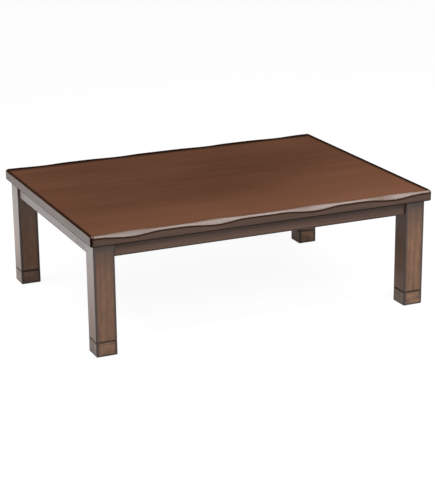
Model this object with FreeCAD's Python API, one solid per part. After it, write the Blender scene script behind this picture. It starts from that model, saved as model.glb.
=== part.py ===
import FreeCAD, Part
import math
import os

# Low heated table. A board with carved long edges lies loose on a leg frame, a heater hangs in the
# middle of the frame's lattice, and each leg stands on an extension foot that unscrews.
# Millimetres. X runs along the long side, Y to the rear, Z up; the origin is on the floor, mid table.

# The table as a whole
TABLE_LENGTH = 1200.0
TABLE_WIDTH = 900.0
TABLE_HEIGHT = 405.0

# Board
BOARD_THICKNESS = 35.0
BOARD_CORNER_RADIUS = 6.0
LONG_SIDE_OVERHANG = 26.0
SHORT_SIDE_OVERHANG = 14.0
LONG_EDGE_WIDTH = 60.0
SHORT_EDGE_WIDTH = 30.0
VENEER_THICKNESS = 0.8
LONG_EDGE_BEVEL = 6.0
SHORT_EDGE_BEVEL = 3.0
UNDERSIDE_BEVEL = 1.5

# Carved scoops along both long edges, placed as shares of the table's length
SCOOP_DEPTH = 5.6
SCOOP_RADIUS = 900.0
SCOOP_CUTTER_REACH = 40.0
SCOOP_PLACE_SHARES = (0.113, 0.350, 0.637, 0.882)

# Legs and extension feet
LEG_SIDE = 70.0
LEG_EDGE_RADIUS = 3.0
LEG_JOINT_BEVEL = 1.5
LEG_SEAT = 12.0
FOOT_HEIGHT = 50.0
FOOT_PAD_SIDE = 54.0
FOOT_PAD_THICKNESS = 2.0
STUD_RADIUS = 4.0
STUD_IN_FOOT = 28.0
STUD_IN_LEG = 24.0
INSERT_RADIUS = 6.5
INSERT_LENGTH = 20.0

# Aprons
APRON_HEIGHT = 46.0
APRON_THICKNESS = 20.0
LONG_APRON_SETBACK = 8.0
SHORT_APRON_SETBACK = 6.5
GRIP_PAD_RADIUS = 8.0
GRIP_PAD_THICKNESS = 1.0

# Lattice rails and their dowels
RAIL_WIDTH = 40.0
RAIL_HEIGHT = 36.0
RAIL_DROP = 4.0
DOWEL_RADIUS = 4.0
DOWEL_SPACING = 20.0
DOWEL_IN_HOST = 12.0
DOWEL_IN_RAIL = 24.0

# Corner brackets, leg bolts and bracket screws
BRACKET_SHEET = 2.5
BRACKET_MARGIN = 1.0
BRACKET_FLANGE = 40.0
BOLT_RADIUS = 4.0
BOLT_NUT_GAP = 2.0
BOLT_IN_LEG = 36.0
BOLT_TAIL = 5.0
NUT_ACROSS_FLATS = 13.0
NUT_HEIGHT = 6.5
NUT_FLANGE_RADIUS = 9.0
NUT_FLANGE_THICKNESS = 1.5
BRACKET_SCREW_RADIUS = 2.0
BRACKET_SCREW_LENGTH = 16.0
BRACKET_SCREW_HEAD_RADIUS = 4.0
BRACKET_SCREW_HEAD_HEIGHT = 2.4
BRACKET_SCREW_SPACING = 18.0
BRACKET_SCREW_END = 11.0

# Heater case and flange
CASE_SIDE = 290.0
CASE_GAP = 3.0
CASE_WALL = 2.0
CASE_HEADROOM = 3.0
CASE_CORNER_RADIUS = 10.0
FLANGE_OVERLAP = 12.0
FLANGE_THICKNESS = 3.0
HEATER_SCREW_RADIUS = 2.0
HEATER_SCREW_DOWEL_GAP = 2.0
HEATER_SCREW_HEAD_RADIUS = 4.0
HEATER_SCREW_HEAD_HEIGHT = 2.5
HEATER_SCREW_INSET = 6.0

# Reflector
REFLECTOR_SHEET = 0.8
REFLECTOR_MARGIN = 12.0
REFLECTOR_RISE = 21.0
LIP_SCREW_GAP = 2.0

# Guard grille and its frame
GRILLE_SHEET = 1.2
GRILLE_MARGIN = 1.0
GRILLE_DROP = 30.0
GRILLE_DRAFT = 12.0
GRILLE_ROWS = 20
GRILLE_BAR = 4.0
GRILLE_BORDER = 9.0
GUARD_FRAME_THICKNESS = 4.0

# Quartz tubes, their caps and holders
TUBE_RADIUS = 6.0
TUBE_WALL = 1.0
TUBE_FAN_GAP = 18.0
TUBE_DROP = 9.0
COIL_RADIUS = 3.0
CAP_RADIUS = 10.0
CAP_LENGTH = 24.0
CAP_COLLAR = 4.0
CAP_END = 4.0
CAP_GRILLE_GAP = 6.0
HOLDER_SHEET = 1.2
HOLDER_MARGIN = 6.0
HOLDER_SKIRT = 3.0
HOLDER_FLANGE = 10.0

# Fan and its motor
FAN_RADIUS = 48.0
FAN_HEIGHT = 11.0
FAN_HUB_RADIUS = 12.0
FAN_BLADES = 7
FAN_BLADE_THICKNESS = 1.2
FAN_BLADE_WIDTH = 20.0
FAN_BLADE_PITCH_DEGREES = 28.0
FAN_TIP_GAP = 6.0
FAN_TOP_GAP = 4.8
MOTOR_RADIUS = 24.0
MOTOR_HEIGHT = 12.0
SHAFT_RADIUS = 2.0
SHAFT_IN_MOTOR = 8.0

# Electrical pieces
THERMOSTAT_RADIUS = 9.0
THERMOSTAT_HEIGHT = 8.0
FUSE_RADIUS = 3.0
FUSE_LENGTH = 22.0
TERMINAL_LENGTH = 36.0
TERMINAL_WIDTH = 20.0
TERMINAL_HEIGHT = 11.0
PIECE_EDGE_GAP = 6.0
INLET_GAP = 2.0
INLET_WIDTH = 40.0
INLET_HEIGHT = 20.0
INLET_RECESS_WIDTH = 28.0
INLET_RECESS_HEIGHT = 13.0
INLET_FLOOR = 8.0
PIN_RADIUS = 2.0
PIN_SPACING = 15.0
PIN_LENGTH = 12.0
PIN_ROOT = 5.0
LEAD_RADIUS = 2.0
LEAD_BEND = 8.0

# Clearances
FIT_CLEARANCE = 0.05
BORE_END_CLEARANCE = 1.0
HOLE_CLEARANCE = 0.5
OVERRUN = 5.0

# Places that follow from the sizes above
HALF_LENGTH = TABLE_LENGTH / 2
HALF_WIDTH = TABLE_WIDTH / 2
BOARD_BOTTOM = TABLE_HEIGHT - BOARD_THICKNESS
FRAME_TOP = BOARD_BOTTOM - GRIP_PAD_THICKNESS
LEG_OUTER_X = HALF_LENGTH - SHORT_SIDE_OVERHANG
LEG_OUTER_Y = HALF_WIDTH - LONG_SIDE_OVERHANG
LEG_INNER_X = LEG_OUTER_X - LEG_SIDE
LEG_INNER_Y = LEG_OUTER_Y - LEG_SIDE
LEG_MID_X = LEG_OUTER_X - LEG_SIDE / 2
LEG_MID_Y = LEG_OUTER_Y - LEG_SIDE / 2
APRON_BOTTOM = FRAME_TOP - APRON_HEIGHT
LONG_APRON_OUTER = LEG_OUTER_Y - LONG_APRON_SETBACK
LONG_APRON_INNER = LONG_APRON_OUTER - APRON_THICKNESS
SHORT_APRON_OUTER = LEG_OUTER_X - SHORT_APRON_SETBACK
SHORT_APRON_INNER = SHORT_APRON_OUTER - APRON_THICKNESS
RAIL_TOP = FRAME_TOP - RAIL_DROP
RAIL_BOTTOM = RAIL_TOP - RAIL_HEIGHT
RAIL_MID_Z = RAIL_TOP - RAIL_HEIGHT / 2
BAY_HALF = CASE_SIDE / 2 + CASE_GAP
RAIL_OUTER = BAY_HALF + RAIL_WIDTH
RAIL_MID = BAY_HALF + RAIL_WIDTH / 2
BRACKET_LINE = LEG_INNER_X + LEG_INNER_Y + LEG_SEAT
BRACKET_MID_Z = APRON_BOTTOM + APRON_HEIGHT / 2
BOLT_SPACING = 2 * NUT_FLANGE_RADIUS + BOLT_NUT_GAP
BRACKET_HEIGHT = BOLT_SPACING + 2 * NUT_FLANGE_RADIUS + 2 * BRACKET_MARGIN
CASE_HALF = CASE_SIDE / 2
CASE_INNER_HALF = CASE_HALF - CASE_WALL
FLANGE_HALF = BAY_HALF + FLANGE_OVERLAP
FLANGE_BOTTOM = RAIL_BOTTOM - FLANGE_THICKNESS
HEATER_SCREW_PLACE = FLANGE_HALF - HEATER_SCREW_INSET
HEATER_SCREW_TOP = RAIL_MID_Z - DOWEL_RADIUS - HEATER_SCREW_DOWEL_GAP
LIP_HALF = HEATER_SCREW_PLACE - HEATER_SCREW_RADIUS - LIP_SCREW_GAP
REFLECTOR_MOUTH_HALF = CASE_INNER_HALF - REFLECTOR_MARGIN
REFLECTOR_TOP = FLANGE_BOTTOM + REFLECTOR_RISE
REFLECTOR_CEILING = REFLECTOR_TOP - REFLECTOR_SHEET
REFLECTOR_LIP_BOTTOM = FLANGE_BOTTOM - REFLECTOR_SHEET
CASE_TOP = REFLECTOR_TOP + TERMINAL_HEIGHT + CASE_HEADROOM + CASE_WALL
GRILLE_LIP_BOTTOM = REFLECTOR_LIP_BOTTOM - GRILLE_SHEET
GRILLE_MOUTH_HALF = REFLECTOR_MOUTH_HALF + GRILLE_MARGIN
GRILLE_FLOOR_HALF = GRILLE_MOUTH_HALF - GRILLE_DRAFT
GRILLE_BOTTOM = GRILLE_LIP_BOTTOM - GRILLE_DROP
GUARD_FRAME_BOTTOM = GRILLE_LIP_BOTTOM - GUARD_FRAME_THICKNESS
TUBE_Z = FLANGE_BOTTOM - TUBE_DROP
TUBE_Y = FAN_RADIUS + TUBE_FAN_GAP + TUBE_RADIUS
CAP_OUTER_X = GRILLE_FLOOR_HALF - CAP_GRILLE_GAP
CAP_INNER_X = CAP_OUTER_X - CAP_LENGTH
TUBE_END_X = CAP_OUTER_X - CAP_END
HOLDER_X = CAP_INNER_X + CAP_COLLAR
REFLECTOR_TOP_HALF = HOLDER_X + HOLDER_MARGIN
MOTOR_TOP = CASE_TOP - CASE_WALL
MOTOR_BOTTOM = MOTOR_TOP - MOTOR_HEIGHT
FAN_TOP = MOTOR_BOTTOM - FAN_TOP_GAP
FAN_BOTTOM = FAN_TOP - FAN_HEIGHT
PIECE_MID = REFLECTOR_TOP_HALF - PIECE_EDGE_GAP - TERMINAL_LENGTH / 2
INLET_INNER_X = -GRILLE_MOUTH_HALF - INLET_GAP
INLET_RECESS_X = INLET_INNER_X - INLET_FLOOR
LEAD_X = -(REFLECTOR_MOUTH_HALF + CASE_INNER_HALF) / 2

CORNERS = {"front_left": (-1, -1), "front_right": (1, -1), "rear_left": (-1, 1), "rear_right": (1, 1)}
UP = FreeCAD.Vector(0, 0, 1)
ORIGIN = FreeCAD.Vector(0, 0, 0)


# Shapes used by several pieces

def vec(x, y, z):
    return FreeCAD.Vector(x, y, z)


def block(xs, ys, zs):
    """Box between two planes on each axis."""
    corner = vec(min(xs), min(ys), min(zs))
    return Part.makeBox(max(xs) - min(xs), max(ys) - min(ys), max(zs) - min(zs), corner)


def square_block(half, zs):
    """Square box about the table's middle."""
    return block((-half, half), (-half, half), zs)


def prism(outline, height_vector):
    """Solid pulled from a closed list of points."""
    wire = Part.makePolygon(outline + outline[:1])
    return Part.Face(wire).extrude(height_vector)


def round_outline(middle, length, width, radius):
    """Level rectangle with round corners."""
    reach_x = length / 2 - radius
    reach_y = width / 2 - radius
    arcs = []
    for quarter, (sx, sy) in enumerate(((1, 1), (-1, 1), (-1, -1), (1, -1))):
        centre = middle + vec(sx * reach_x, sy * reach_y, 0)
        turn = 90 * quarter
        arcs.append(Part.makeCircle(radius, centre, UP, turn, turn + 90))
    edges = []
    for arc, following in zip(arcs, arcs[1:] + arcs[:1]):
        start = arc.valueAt(arc.LastParameter)
        end = following.valueAt(following.FirstParameter)
        edges.append(arc)
        edges.append(Part.makeLine(start, end))
    return Part.Wire(edges)


def round_block(x, y, length, width, radius, zs, low_bevel=0, high_bevel=0):
    """Upright block with round corners, and a bevel round its lower or upper end."""
    levels = []
    if low_bevel:
        levels.append((zs[0], low_bevel))
    levels.append((zs[0] + low_bevel, 0))
    levels.append((zs[1] - high_bevel, 0))
    if high_bevel:
        levels.append((zs[1], high_bevel))
    outlines = []
    for z, inset in levels:
        shrink = (length - 2 * inset) / length
        outline = round_outline(vec(x, y, z), length - 2 * inset, width - 2 * inset, radius * shrink)
        outlines.append(outline)
    return Part.makeLoft(outlines, True, True)


def square_cup(low_half, high_half, low_z, high_z):
    """Four-sided block that narrows or widens with height."""
    outlines = []
    for half, z in ((low_half, low_z), (high_half, high_z)):
        corners = [vec(-half, -half, z), vec(half, -half, z), vec(half, half, z), vec(-half, half, z)]
        outlines.append(Part.makePolygon(corners + corners[:1]))
    return Part.makeLoft(outlines, True, True)


def rod(radius, start, end):
    """Round bar between two points."""
    return Part.makeCylinder(radius, (end - start).Length, start, end - start)


def to_corner(shape, signs):
    """Copy of a rear right piece, mirrored to another corner."""
    copy = shape.copy()
    if signs[0] < 0:
        copy = copy.mirror(ORIGIN, vec(1, 0, 0))
    if signs[1] < 0:
        copy = copy.mirror(ORIGIN, vec(0, 1, 0))
    return copy


def all_corners(shape):
    """One copy at each of the four corners."""
    return [to_corner(shape, signs) for signs in CORNERS.values()]


def screw(radius, length, head_radius, head_height, seat, direction):
    """Pan head screw: its head stands on the seat and its shank goes along the direction."""
    shank = rod(radius, seat, seat + direction * length)
    head = rod(head_radius, seat - direction * head_height, seat)
    return head.fuse(shank).removeSplitter()


# Board

def long_edge_wedge():
    """Takes the upper arris off the front edge."""
    y = -HALF_WIDTH
    z = TABLE_HEIGHT
    points = [
        vec(-HALF_LENGTH - OVERRUN, y - OVERRUN, z - LONG_EDGE_BEVEL - OVERRUN),
        vec(-HALF_LENGTH - OVERRUN, y + LONG_EDGE_BEVEL + OVERRUN, z + OVERRUN),
        vec(-HALF_LENGTH - OVERRUN, y - OVERRUN, z + OVERRUN),
    ]
    return prism(points, vec(TABLE_LENGTH + 2 * OVERRUN, 0, 0))


def short_edge_wedge():
    """Takes the upper arris off the left edge."""
    x = -HALF_LENGTH
    z = TABLE_HEIGHT
    points = [
        vec(x - OVERRUN, -HALF_WIDTH - OVERRUN, z - SHORT_EDGE_BEVEL - OVERRUN),
        vec(x + SHORT_EDGE_BEVEL + OVERRUN, -HALF_WIDTH - OVERRUN, z + OVERRUN),
        vec(x - OVERRUN, -HALF_WIDTH - OVERRUN, z + OVERRUN),
    ]
    return prism(points, vec(0, TABLE_WIDTH + 2 * OVERRUN, 0))


def scoop(share):
    """Wide shallow cylinder, lying square to the front bevel, that hollows one scoop."""
    x = -HALF_LENGTH + share * TABLE_LENGTH
    outwards = vec(0, -1, 1).normalize()
    along = vec(0, 1, 1).normalize()
    bevel_middle = vec(x, -HALF_WIDTH + LONG_EDGE_BEVEL / 2, TABLE_HEIGHT - LONG_EDGE_BEVEL / 2)
    axis_middle = bevel_middle + outwards * (SCOOP_RADIUS - SCOOP_DEPTH)
    start = axis_middle - along * SCOOP_CUTTER_REACH
    return Part.makeCylinder(SCOOP_RADIUS, 2 * SCOOP_CUTTER_REACH, start, along)


def board_blank():
    """Outer form of the whole board, before it is divided into its pieces."""
    heights = (BOARD_BOTTOM, TABLE_HEIGHT)
    blank = round_block(0, 0, TABLE_LENGTH, TABLE_WIDTH, BOARD_CORNER_RADIUS, heights, UNDERSIDE_BEVEL)
    front_cutters = [long_edge_wedge()] + [scoop(share) for share in SCOOP_PLACE_SHARES]
    for cutter in front_cutters:
        blank = blank.cut(cutter)
        blank = blank.cut(cutter.mirror(ORIGIN, vec(0, 1, 0)))
    wedge = short_edge_wedge()
    return blank.cut(wedge).cut(wedge.mirror(ORIGIN, vec(1, 0, 0)))


def add_board(parts):
    blank = board_blank()
    core_x = HALF_LENGTH - SHORT_EDGE_WIDTH
    core_y = HALF_WIDTH - LONG_EDGE_WIDTH
    past_x = HALF_LENGTH + OVERRUN
    past_y = HALF_WIDTH + OVERRUN
    past_z = (BOARD_BOTTOM - OVERRUN, TABLE_HEIGHT + OVERRUN)
    parts["edge_front"] = blank.common(block((-past_x, past_x), (-past_y, -core_y), past_z))
    parts["edge_rear"] = blank.common(block((-past_x, past_x), (core_y, past_y), past_z))
    parts["edge_left"] = blank.common(block((-past_x, -core_x), (-core_y, core_y), past_z))
    parts["edge_right"] = blank.common(block((core_x, past_x), (-core_y, core_y), past_z))
    veneer_bottom = TABLE_HEIGHT - VENEER_THICKNESS
    backing_top = BOARD_BOTTOM + VENEER_THICKNESS
    panel = ((-core_x, core_x), (-core_y, core_y))
    parts["top_veneer"] = block(*panel, (veneer_bottom, TABLE_HEIGHT))
    parts["core_panel"] = block(*panel, (backing_top, veneer_bottom))
    parts["backing_veneer"] = block(*panel, (BOARD_BOTTOM, backing_top))


# Leg bolts: each passes from the bracket into the leg's bevelled inner corner

def bolt_heights():
    return (BRACKET_MID_Z - BOLT_SPACING / 2, BRACKET_MID_Z + BOLT_SPACING / 2)


def bolt_point(depth, z):
    """Point on a leg bolt's axis, at a depth into the leg from its seat."""
    step = depth / math.sqrt(2)
    return vec(LEG_INNER_X + LEG_SEAT / 2 + step, LEG_INNER_Y + LEG_SEAT / 2 + step, z)


def bolt_rods(radius, low_depth, high_depth):
    return [rod(radius, bolt_point(low_depth, z), bolt_point(high_depth, z)) for z in bolt_heights()]


def flange_nut(z):
    """Hexagon nut with its own washer face, on the bracket's inner side."""
    face = -BRACKET_SHEET
    corner_radius = NUT_ACROSS_FLATS / math.sqrt(3)
    axis = vec(1, 1, 0).normalize()
    side = vec(1, -1, 0).normalize()
    points = []
    for corner in range(6):
        angle = math.radians(60 * corner)
        spoke = UP * math.cos(angle) + side * math.sin(angle)
        points.append(bolt_point(face, z) + spoke * corner_radius)
    body = prism(points, axis * -NUT_HEIGHT)
    washer = rod(NUT_FLANGE_RADIUS, bolt_point(face - NUT_FLANGE_THICKNESS, z), bolt_point(face, z))
    hole_end = face - NUT_HEIGHT - OVERRUN
    hole = rod(BOLT_RADIUS + FIT_CLEARANCE, bolt_point(hole_end, z), bolt_point(OVERRUN, z))
    return body.fuse(washer).cut(hole).removeSplitter()


def add_leg_bolts(parts):
    tail = -BRACKET_SHEET - NUT_HEIGHT - BOLT_TAIL
    bolts = bolt_rods(BOLT_RADIUS, tail, BOLT_IN_LEG)
    nuts = [flange_nut(z) for z in bolt_heights()]
    parts["leg_bolts"] = Part.makeCompound([copy for bolt in bolts for copy in all_corners(bolt)])
    parts["leg_bolt_nuts"] = Part.makeCompound([copy for nut in nuts for copy in all_corners(nut)])


# Corner brackets

def bracket_heights():
    return (BRACKET_MID_Z - BRACKET_HEIGHT / 2, BRACKET_MID_Z + BRACKET_HEIGHT / 2)


def bracket_screw_seats():
    """Seat and direction of each screw that holds a bracket to its two aprons."""
    seats = []
    for place in (BRACKET_SCREW_END, BRACKET_SCREW_END + BRACKET_SCREW_SPACING):
        x = BRACKET_LINE - LONG_APRON_INNER - BRACKET_FLANGE + place
        y = BRACKET_LINE - SHORT_APRON_INNER - BRACKET_FLANGE + place
        seats.append((vec(x, LONG_APRON_INNER - BRACKET_SHEET, BRACKET_MID_Z), vec(0, 1, 0)))
        seats.append((vec(SHORT_APRON_INNER - BRACKET_SHEET, y, BRACKET_MID_Z), vec(1, 0, 0)))
    return seats


def bracket_screw_holes(radius):
    holes = []
    for seat, direction in bracket_screw_seats():
        end = seat + direction * (BRACKET_SCREW_LENGTH + BORE_END_CLEARANCE)
        holes.append(rod(radius, seat - direction * OVERRUN, end))
    return holes


def corner_bracket():
    """Bent steel strip across one corner, screwed to both aprons."""
    low, high = bracket_heights()
    sheet = BRACKET_SHEET
    inner_line = BRACKET_LINE - sheet * math.sqrt(2)
    long_face = LONG_APRON_INNER
    short_face = SHORT_APRON_INNER
    end_x = BRACKET_LINE - long_face - BRACKET_FLANGE
    end_y = BRACKET_LINE - short_face - BRACKET_FLANGE
    points = [
        vec(end_x, long_face, low),
        vec(BRACKET_LINE - long_face, long_face, low),
        vec(short_face, BRACKET_LINE - short_face, low),
        vec(short_face, end_y, low),
        vec(short_face - sheet, end_y, low),
        vec(short_face - sheet, inner_line - short_face + sheet, low),
        vec(inner_line - long_face + sheet, long_face - sheet, low),
        vec(end_x, long_face - sheet, low),
    ]
    strip = prism(points, vec(0, 0, high - low))
    holes = bolt_rods(BOLT_RADIUS + HOLE_CLEARANCE, -OVERRUN - sheet, OVERRUN)
    holes += bracket_screw_holes(BRACKET_SCREW_RADIUS + FIT_CLEARANCE)
    return strip.cut(holes)


def add_brackets(parts):
    parts["corner_brackets"] = Part.makeCompound(all_corners(corner_bracket()))
    screws = []
    for seat, direction in bracket_screw_seats():
        shank = (BRACKET_SCREW_RADIUS, BRACKET_SCREW_LENGTH)
        head = (BRACKET_SCREW_HEAD_RADIUS, BRACKET_SCREW_HEAD_HEIGHT)
        screws += all_corners(screw(*shank, *head, seat, direction))
    parts["bracket_screws"] = Part.makeCompound(screws)


# Legs, inserts and extension feet

def leg():
    """Square leg with a bevelled inner corner for the bracket, and a bore for the foot's stud."""
    heights = (FOOT_HEIGHT, FRAME_TOP)
    post = round_block(LEG_MID_X, LEG_MID_Y, LEG_SIDE, LEG_SIDE, LEG_EDGE_RADIUS, heights, LEG_JOINT_BEVEL)
    seat = LEG_SEAT + OVERRUN
    corner = [
        vec(LEG_INNER_X - OVERRUN, LEG_INNER_Y - OVERRUN, APRON_BOTTOM),
        vec(LEG_INNER_X + seat, LEG_INNER_Y - OVERRUN, APRON_BOTTOM),
        vec(LEG_INNER_X - OVERRUN, LEG_INNER_Y + seat, APRON_BOTTOM),
    ]
    post = post.cut(prism(corner, vec(0, 0, APRON_HEIGHT + OVERRUN)))
    post = post.cut(bolt_rods(BOLT_RADIUS + FIT_CLEARANCE, -OVERRUN, BOLT_IN_LEG + BORE_END_CLEARANCE))
    insert_bore = leg_bore(INSERT_RADIUS + FIT_CLEARANCE, INSERT_LENGTH + FIT_CLEARANCE)
    stud_bore = leg_bore(STUD_RADIUS + HOLE_CLEARANCE, STUD_IN_LEG + BORE_END_CLEARANCE)
    return post.cut([insert_bore, stud_bore])


def leg_bore(radius, depth):
    """Upright bore in the leg's lower end."""
    low = vec(LEG_MID_X, LEG_MID_Y, FOOT_HEIGHT - OVERRUN)
    high = vec(LEG_MID_X, LEG_MID_Y, FOOT_HEIGHT + depth)
    return rod(radius, low, high)


def leg_insert():
    """Threaded sleeve in the leg's lower end."""
    low = vec(LEG_MID_X, LEG_MID_Y, FOOT_HEIGHT)
    high = vec(LEG_MID_X, LEG_MID_Y, FOOT_HEIGHT + INSERT_LENGTH)
    thread = rod(STUD_RADIUS + FIT_CLEARANCE, low - UP * OVERRUN, high + UP * OVERRUN)
    return rod(INSERT_RADIUS, low, high).cut(thread)


def foot():
    """Extension foot, the same square section as the leg."""
    heights = (FOOT_PAD_THICKNESS, FOOT_HEIGHT)
    bevel = LEG_JOINT_BEVEL
    body = round_block(LEG_MID_X, LEG_MID_Y, LEG_SIDE, LEG_SIDE, LEG_EDGE_RADIUS, heights, bevel, bevel)
    low = vec(LEG_MID_X, LEG_MID_Y, FOOT_HEIGHT - STUD_IN_FOOT - FIT_CLEARANCE)
    high = vec(LEG_MID_X, LEG_MID_Y, FOOT_HEIGHT + OVERRUN)
    return body.cut(rod(STUD_RADIUS + FIT_CLEARANCE, low, high))


def foot_stud():
    """Threaded stud that joins foot and leg."""
    low = vec(LEG_MID_X, LEG_MID_Y, FOOT_HEIGHT - STUD_IN_FOOT)
    high = vec(LEG_MID_X, LEG_MID_Y, FOOT_HEIGHT + STUD_IN_LEG)
    return rod(STUD_RADIUS, low, high)


def foot_pad():
    """Floor pad under the foot."""
    heights = (0, FOOT_PAD_THICKNESS)
    return round_block(LEG_MID_X, LEG_MID_Y, FOOT_PAD_SIDE, FOOT_PAD_SIDE, LEG_EDGE_RADIUS, heights)


def add_legs(parts):
    models = {"leg": leg(), "foot": foot(), "foot_stud": foot_stud(), "foot_pad": foot_pad()}
    for corner, signs in CORNERS.items():
        for piece, shape in models.items():
            parts[piece + "_" + corner] = to_corner(shape, signs)
    parts["leg_inserts"] = Part.makeCompound(all_corners(leg_insert()))


# Dowelled lattice

def dowel_joints():
    """Middle of each joint face, the way into the rail, and the way the two dowels are spread."""
    z = RAIL_MID_Z
    along_x = vec(1, 0, 0)
    along_y = vec(0, 1, 0)
    joints = []
    for side in (-1, 1):
        for end in (-1, 1):
            joints.append((vec(side * RAIL_MID, end * LONG_APRON_INNER, z), vec(0, -end, 0), along_x))
            joints.append((vec(end * BAY_HALF, side * RAIL_MID, z), vec(-end, 0, 0), along_y))
        joints.append((vec(side * SHORT_APRON_INNER, 0, z), vec(-side, 0, 0), along_y))
        joints.append((vec(side * RAIL_OUTER, 0, z), vec(side, 0, 0), along_y))
    return joints


def dowels(radius, end_gap):
    """The dowels, or with a gap the bores that take them."""
    pins = []
    for face, into_rail, spread in dowel_joints():
        for sign in (-1, 1):
            middle = face + spread * (sign * DOWEL_SPACING / 2)
            start = middle - into_rail * (DOWEL_IN_HOST + end_gap)
            pins.append(rod(radius, start, middle + into_rail * (DOWEL_IN_RAIL + end_gap)))
    return pins


def add_frame(parts):
    bores = dowels(DOWEL_RADIUS + FIT_CLEARANCE, HOLE_CLEARANCE)
    heights = (APRON_BOTTOM, FRAME_TOP)
    rail_heights = (RAIL_BOTTOM, RAIL_TOP)
    screw_holes = []
    for hole in bracket_screw_holes(BRACKET_SCREW_RADIUS + FIT_CLEARANCE):
        screw_holes += all_corners(hole)
    heater_holes = heater_screw_holes()
    for side, name in ((-1, "front"), (1, "rear")):
        ys = (side * LONG_APRON_INNER, side * LONG_APRON_OUTER)
        apron = block((-LEG_INNER_X, LEG_INNER_X), ys, heights)
        parts["apron_" + name] = apron.cut(bores + screw_holes)
        rail = block((-BAY_HALF, BAY_HALF), (side * BAY_HALF, side * RAIL_OUTER), rail_heights)
        parts["heater_rail_" + name] = rail.cut(bores + heater_holes)
    for side, name in ((-1, "left"), (1, "right")):
        xs = (side * SHORT_APRON_INNER, side * SHORT_APRON_OUTER)
        apron = block(xs, (-LEG_INNER_Y, LEG_INNER_Y), heights)
        parts["apron_" + name] = apron.cut(bores + screw_holes)
        xs = (side * BAY_HALF, side * RAIL_OUTER)
        rail = block(xs, (-LONG_APRON_INNER, LONG_APRON_INNER), rail_heights)
        parts["heater_rail_" + name] = rail.cut(bores + heater_holes)
        xs = (side * RAIL_OUTER, side * SHORT_APRON_INNER)
        tie = block(xs, (-RAIL_WIDTH / 2, RAIL_WIDTH / 2), rail_heights)
        parts["tie_rail_" + name] = tie.cut(bores)
    parts["rail_dowels"] = Part.makeCompound(dowels(DOWEL_RADIUS, 0))


def add_grip_pads(parts):
    """Thin pads on the legs and aprons, on which the board lies."""
    apron_x = (SHORT_APRON_INNER + SHORT_APRON_OUTER) / 2
    apron_y = (LONG_APRON_INNER + LONG_APRON_OUTER) / 2
    places = [(sx * LEG_MID_X, sy * LEG_MID_Y) for sx, sy in CORNERS.values()]
    places += [(apron_x, 0), (-apron_x, 0), (0, apron_y), (0, -apron_y)]
    pads = [rod(GRIP_PAD_RADIUS, vec(x, y, FRAME_TOP), vec(x, y, BOARD_BOTTOM)) for x, y in places]
    parts["grip_pads"] = Part.makeCompound(pads)


# Heater case, reflector and guard

def heater_screw_lines():
    """Lower and upper end of each screw's bore through guard frame, flange and rail."""
    place = HEATER_SCREW_PLACE
    low = GUARD_FRAME_BOTTOM - OVERRUN
    high = HEATER_SCREW_TOP + BORE_END_CLEARANCE
    spots = [(sx * place, sy * place) for sx, sy in CORNERS.values()]
    return [(vec(x, y, low), vec(x, y, high)) for x, y in spots]


def heater_screw_holes():
    return [rod(HEATER_SCREW_RADIUS + FIT_CLEARANCE, low, high) for low, high in heater_screw_lines()]


def heater_case():
    """Sheet case, open below, with a flange that lies against the rails."""
    radius = CASE_CORNER_RADIUS
    shell = round_block(0, 0, CASE_SIDE, CASE_SIDE, radius, (FLANGE_BOTTOM, CASE_TOP))
    flange = round_block(0, 0, 2 * FLANGE_HALF, 2 * FLANGE_HALF, radius, (FLANGE_BOTTOM, RAIL_BOTTOM))
    inner_side = 2 * CASE_INNER_HALF
    hollow_heights = (FLANGE_BOTTOM - OVERRUN, CASE_TOP - CASE_WALL)
    hollow = round_block(0, 0, inner_side, inner_side, radius * inner_side / CASE_SIDE, hollow_heights)
    return shell.fuse(flange).removeSplitter().cut([hollow] + heater_screw_holes())


def lead_hole():
    """Way for the lead from the inlet up into the case."""
    low = vec(LEAD_X, 0, GUARD_FRAME_BOTTOM - OVERRUN)
    high = vec(LEAD_X, 0, FLANGE_BOTTOM + REFLECTOR_SHEET)
    return rod(LEAD_RADIUS + HOLE_CLEARANCE, low, high)


def reflector():
    """Bright sheet tray over the tubes, with a lip round its mouth and a hole for the fan."""
    rise = REFLECTOR_RISE
    run = REFLECTOR_MOUTH_HALF - REFLECTOR_TOP_HALF
    wall = REFLECTOR_SHEET * math.hypot(rise, run) / rise
    slope = run / rise
    outer = square_cup(REFLECTOR_MOUTH_HALF, REFLECTOR_TOP_HALF, FLANGE_BOTTOM, REFLECTOR_TOP)
    lip = square_block(LIP_HALF, (REFLECTOR_LIP_BOTTOM, FLANGE_BOTTOM))
    low_half = REFLECTOR_MOUTH_HALF - wall + slope * (REFLECTOR_SHEET + OVERRUN)
    high_half = REFLECTOR_TOP_HALF - wall + slope * REFLECTOR_SHEET
    hollow = square_cup(low_half, high_half, REFLECTOR_LIP_BOTTOM - OVERRUN, REFLECTOR_CEILING)
    fan_hole = rod(FAN_RADIUS + FAN_TIP_GAP, vec(0, 0, FLANGE_BOTTOM), vec(0, 0, REFLECTOR_TOP + OVERRUN))
    return outer.fuse(lip).cut([hollow, fan_hole, lead_hole()])


def grille_slots():
    """Two columns of slots across the grille's floor."""
    reach = GRILLE_FLOOR_HALF - GRILLE_BORDER
    pitch = 2 * reach / GRILLE_ROWS
    heights = (GRILLE_BOTTOM - OVERRUN, GRILLE_BOTTOM + GRILLE_SHEET + OVERRUN)
    slots = []
    for row in range(GRILLE_ROWS):
        low_y = -reach + row * pitch + GRILLE_BAR / 2
        ys = (low_y, low_y + pitch - GRILLE_BAR)
        slots.append(block((-reach, -GRILLE_BAR / 2), ys, heights))
        slots.append(block((GRILLE_BAR / 2, reach), ys, heights))
    return slots


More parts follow.
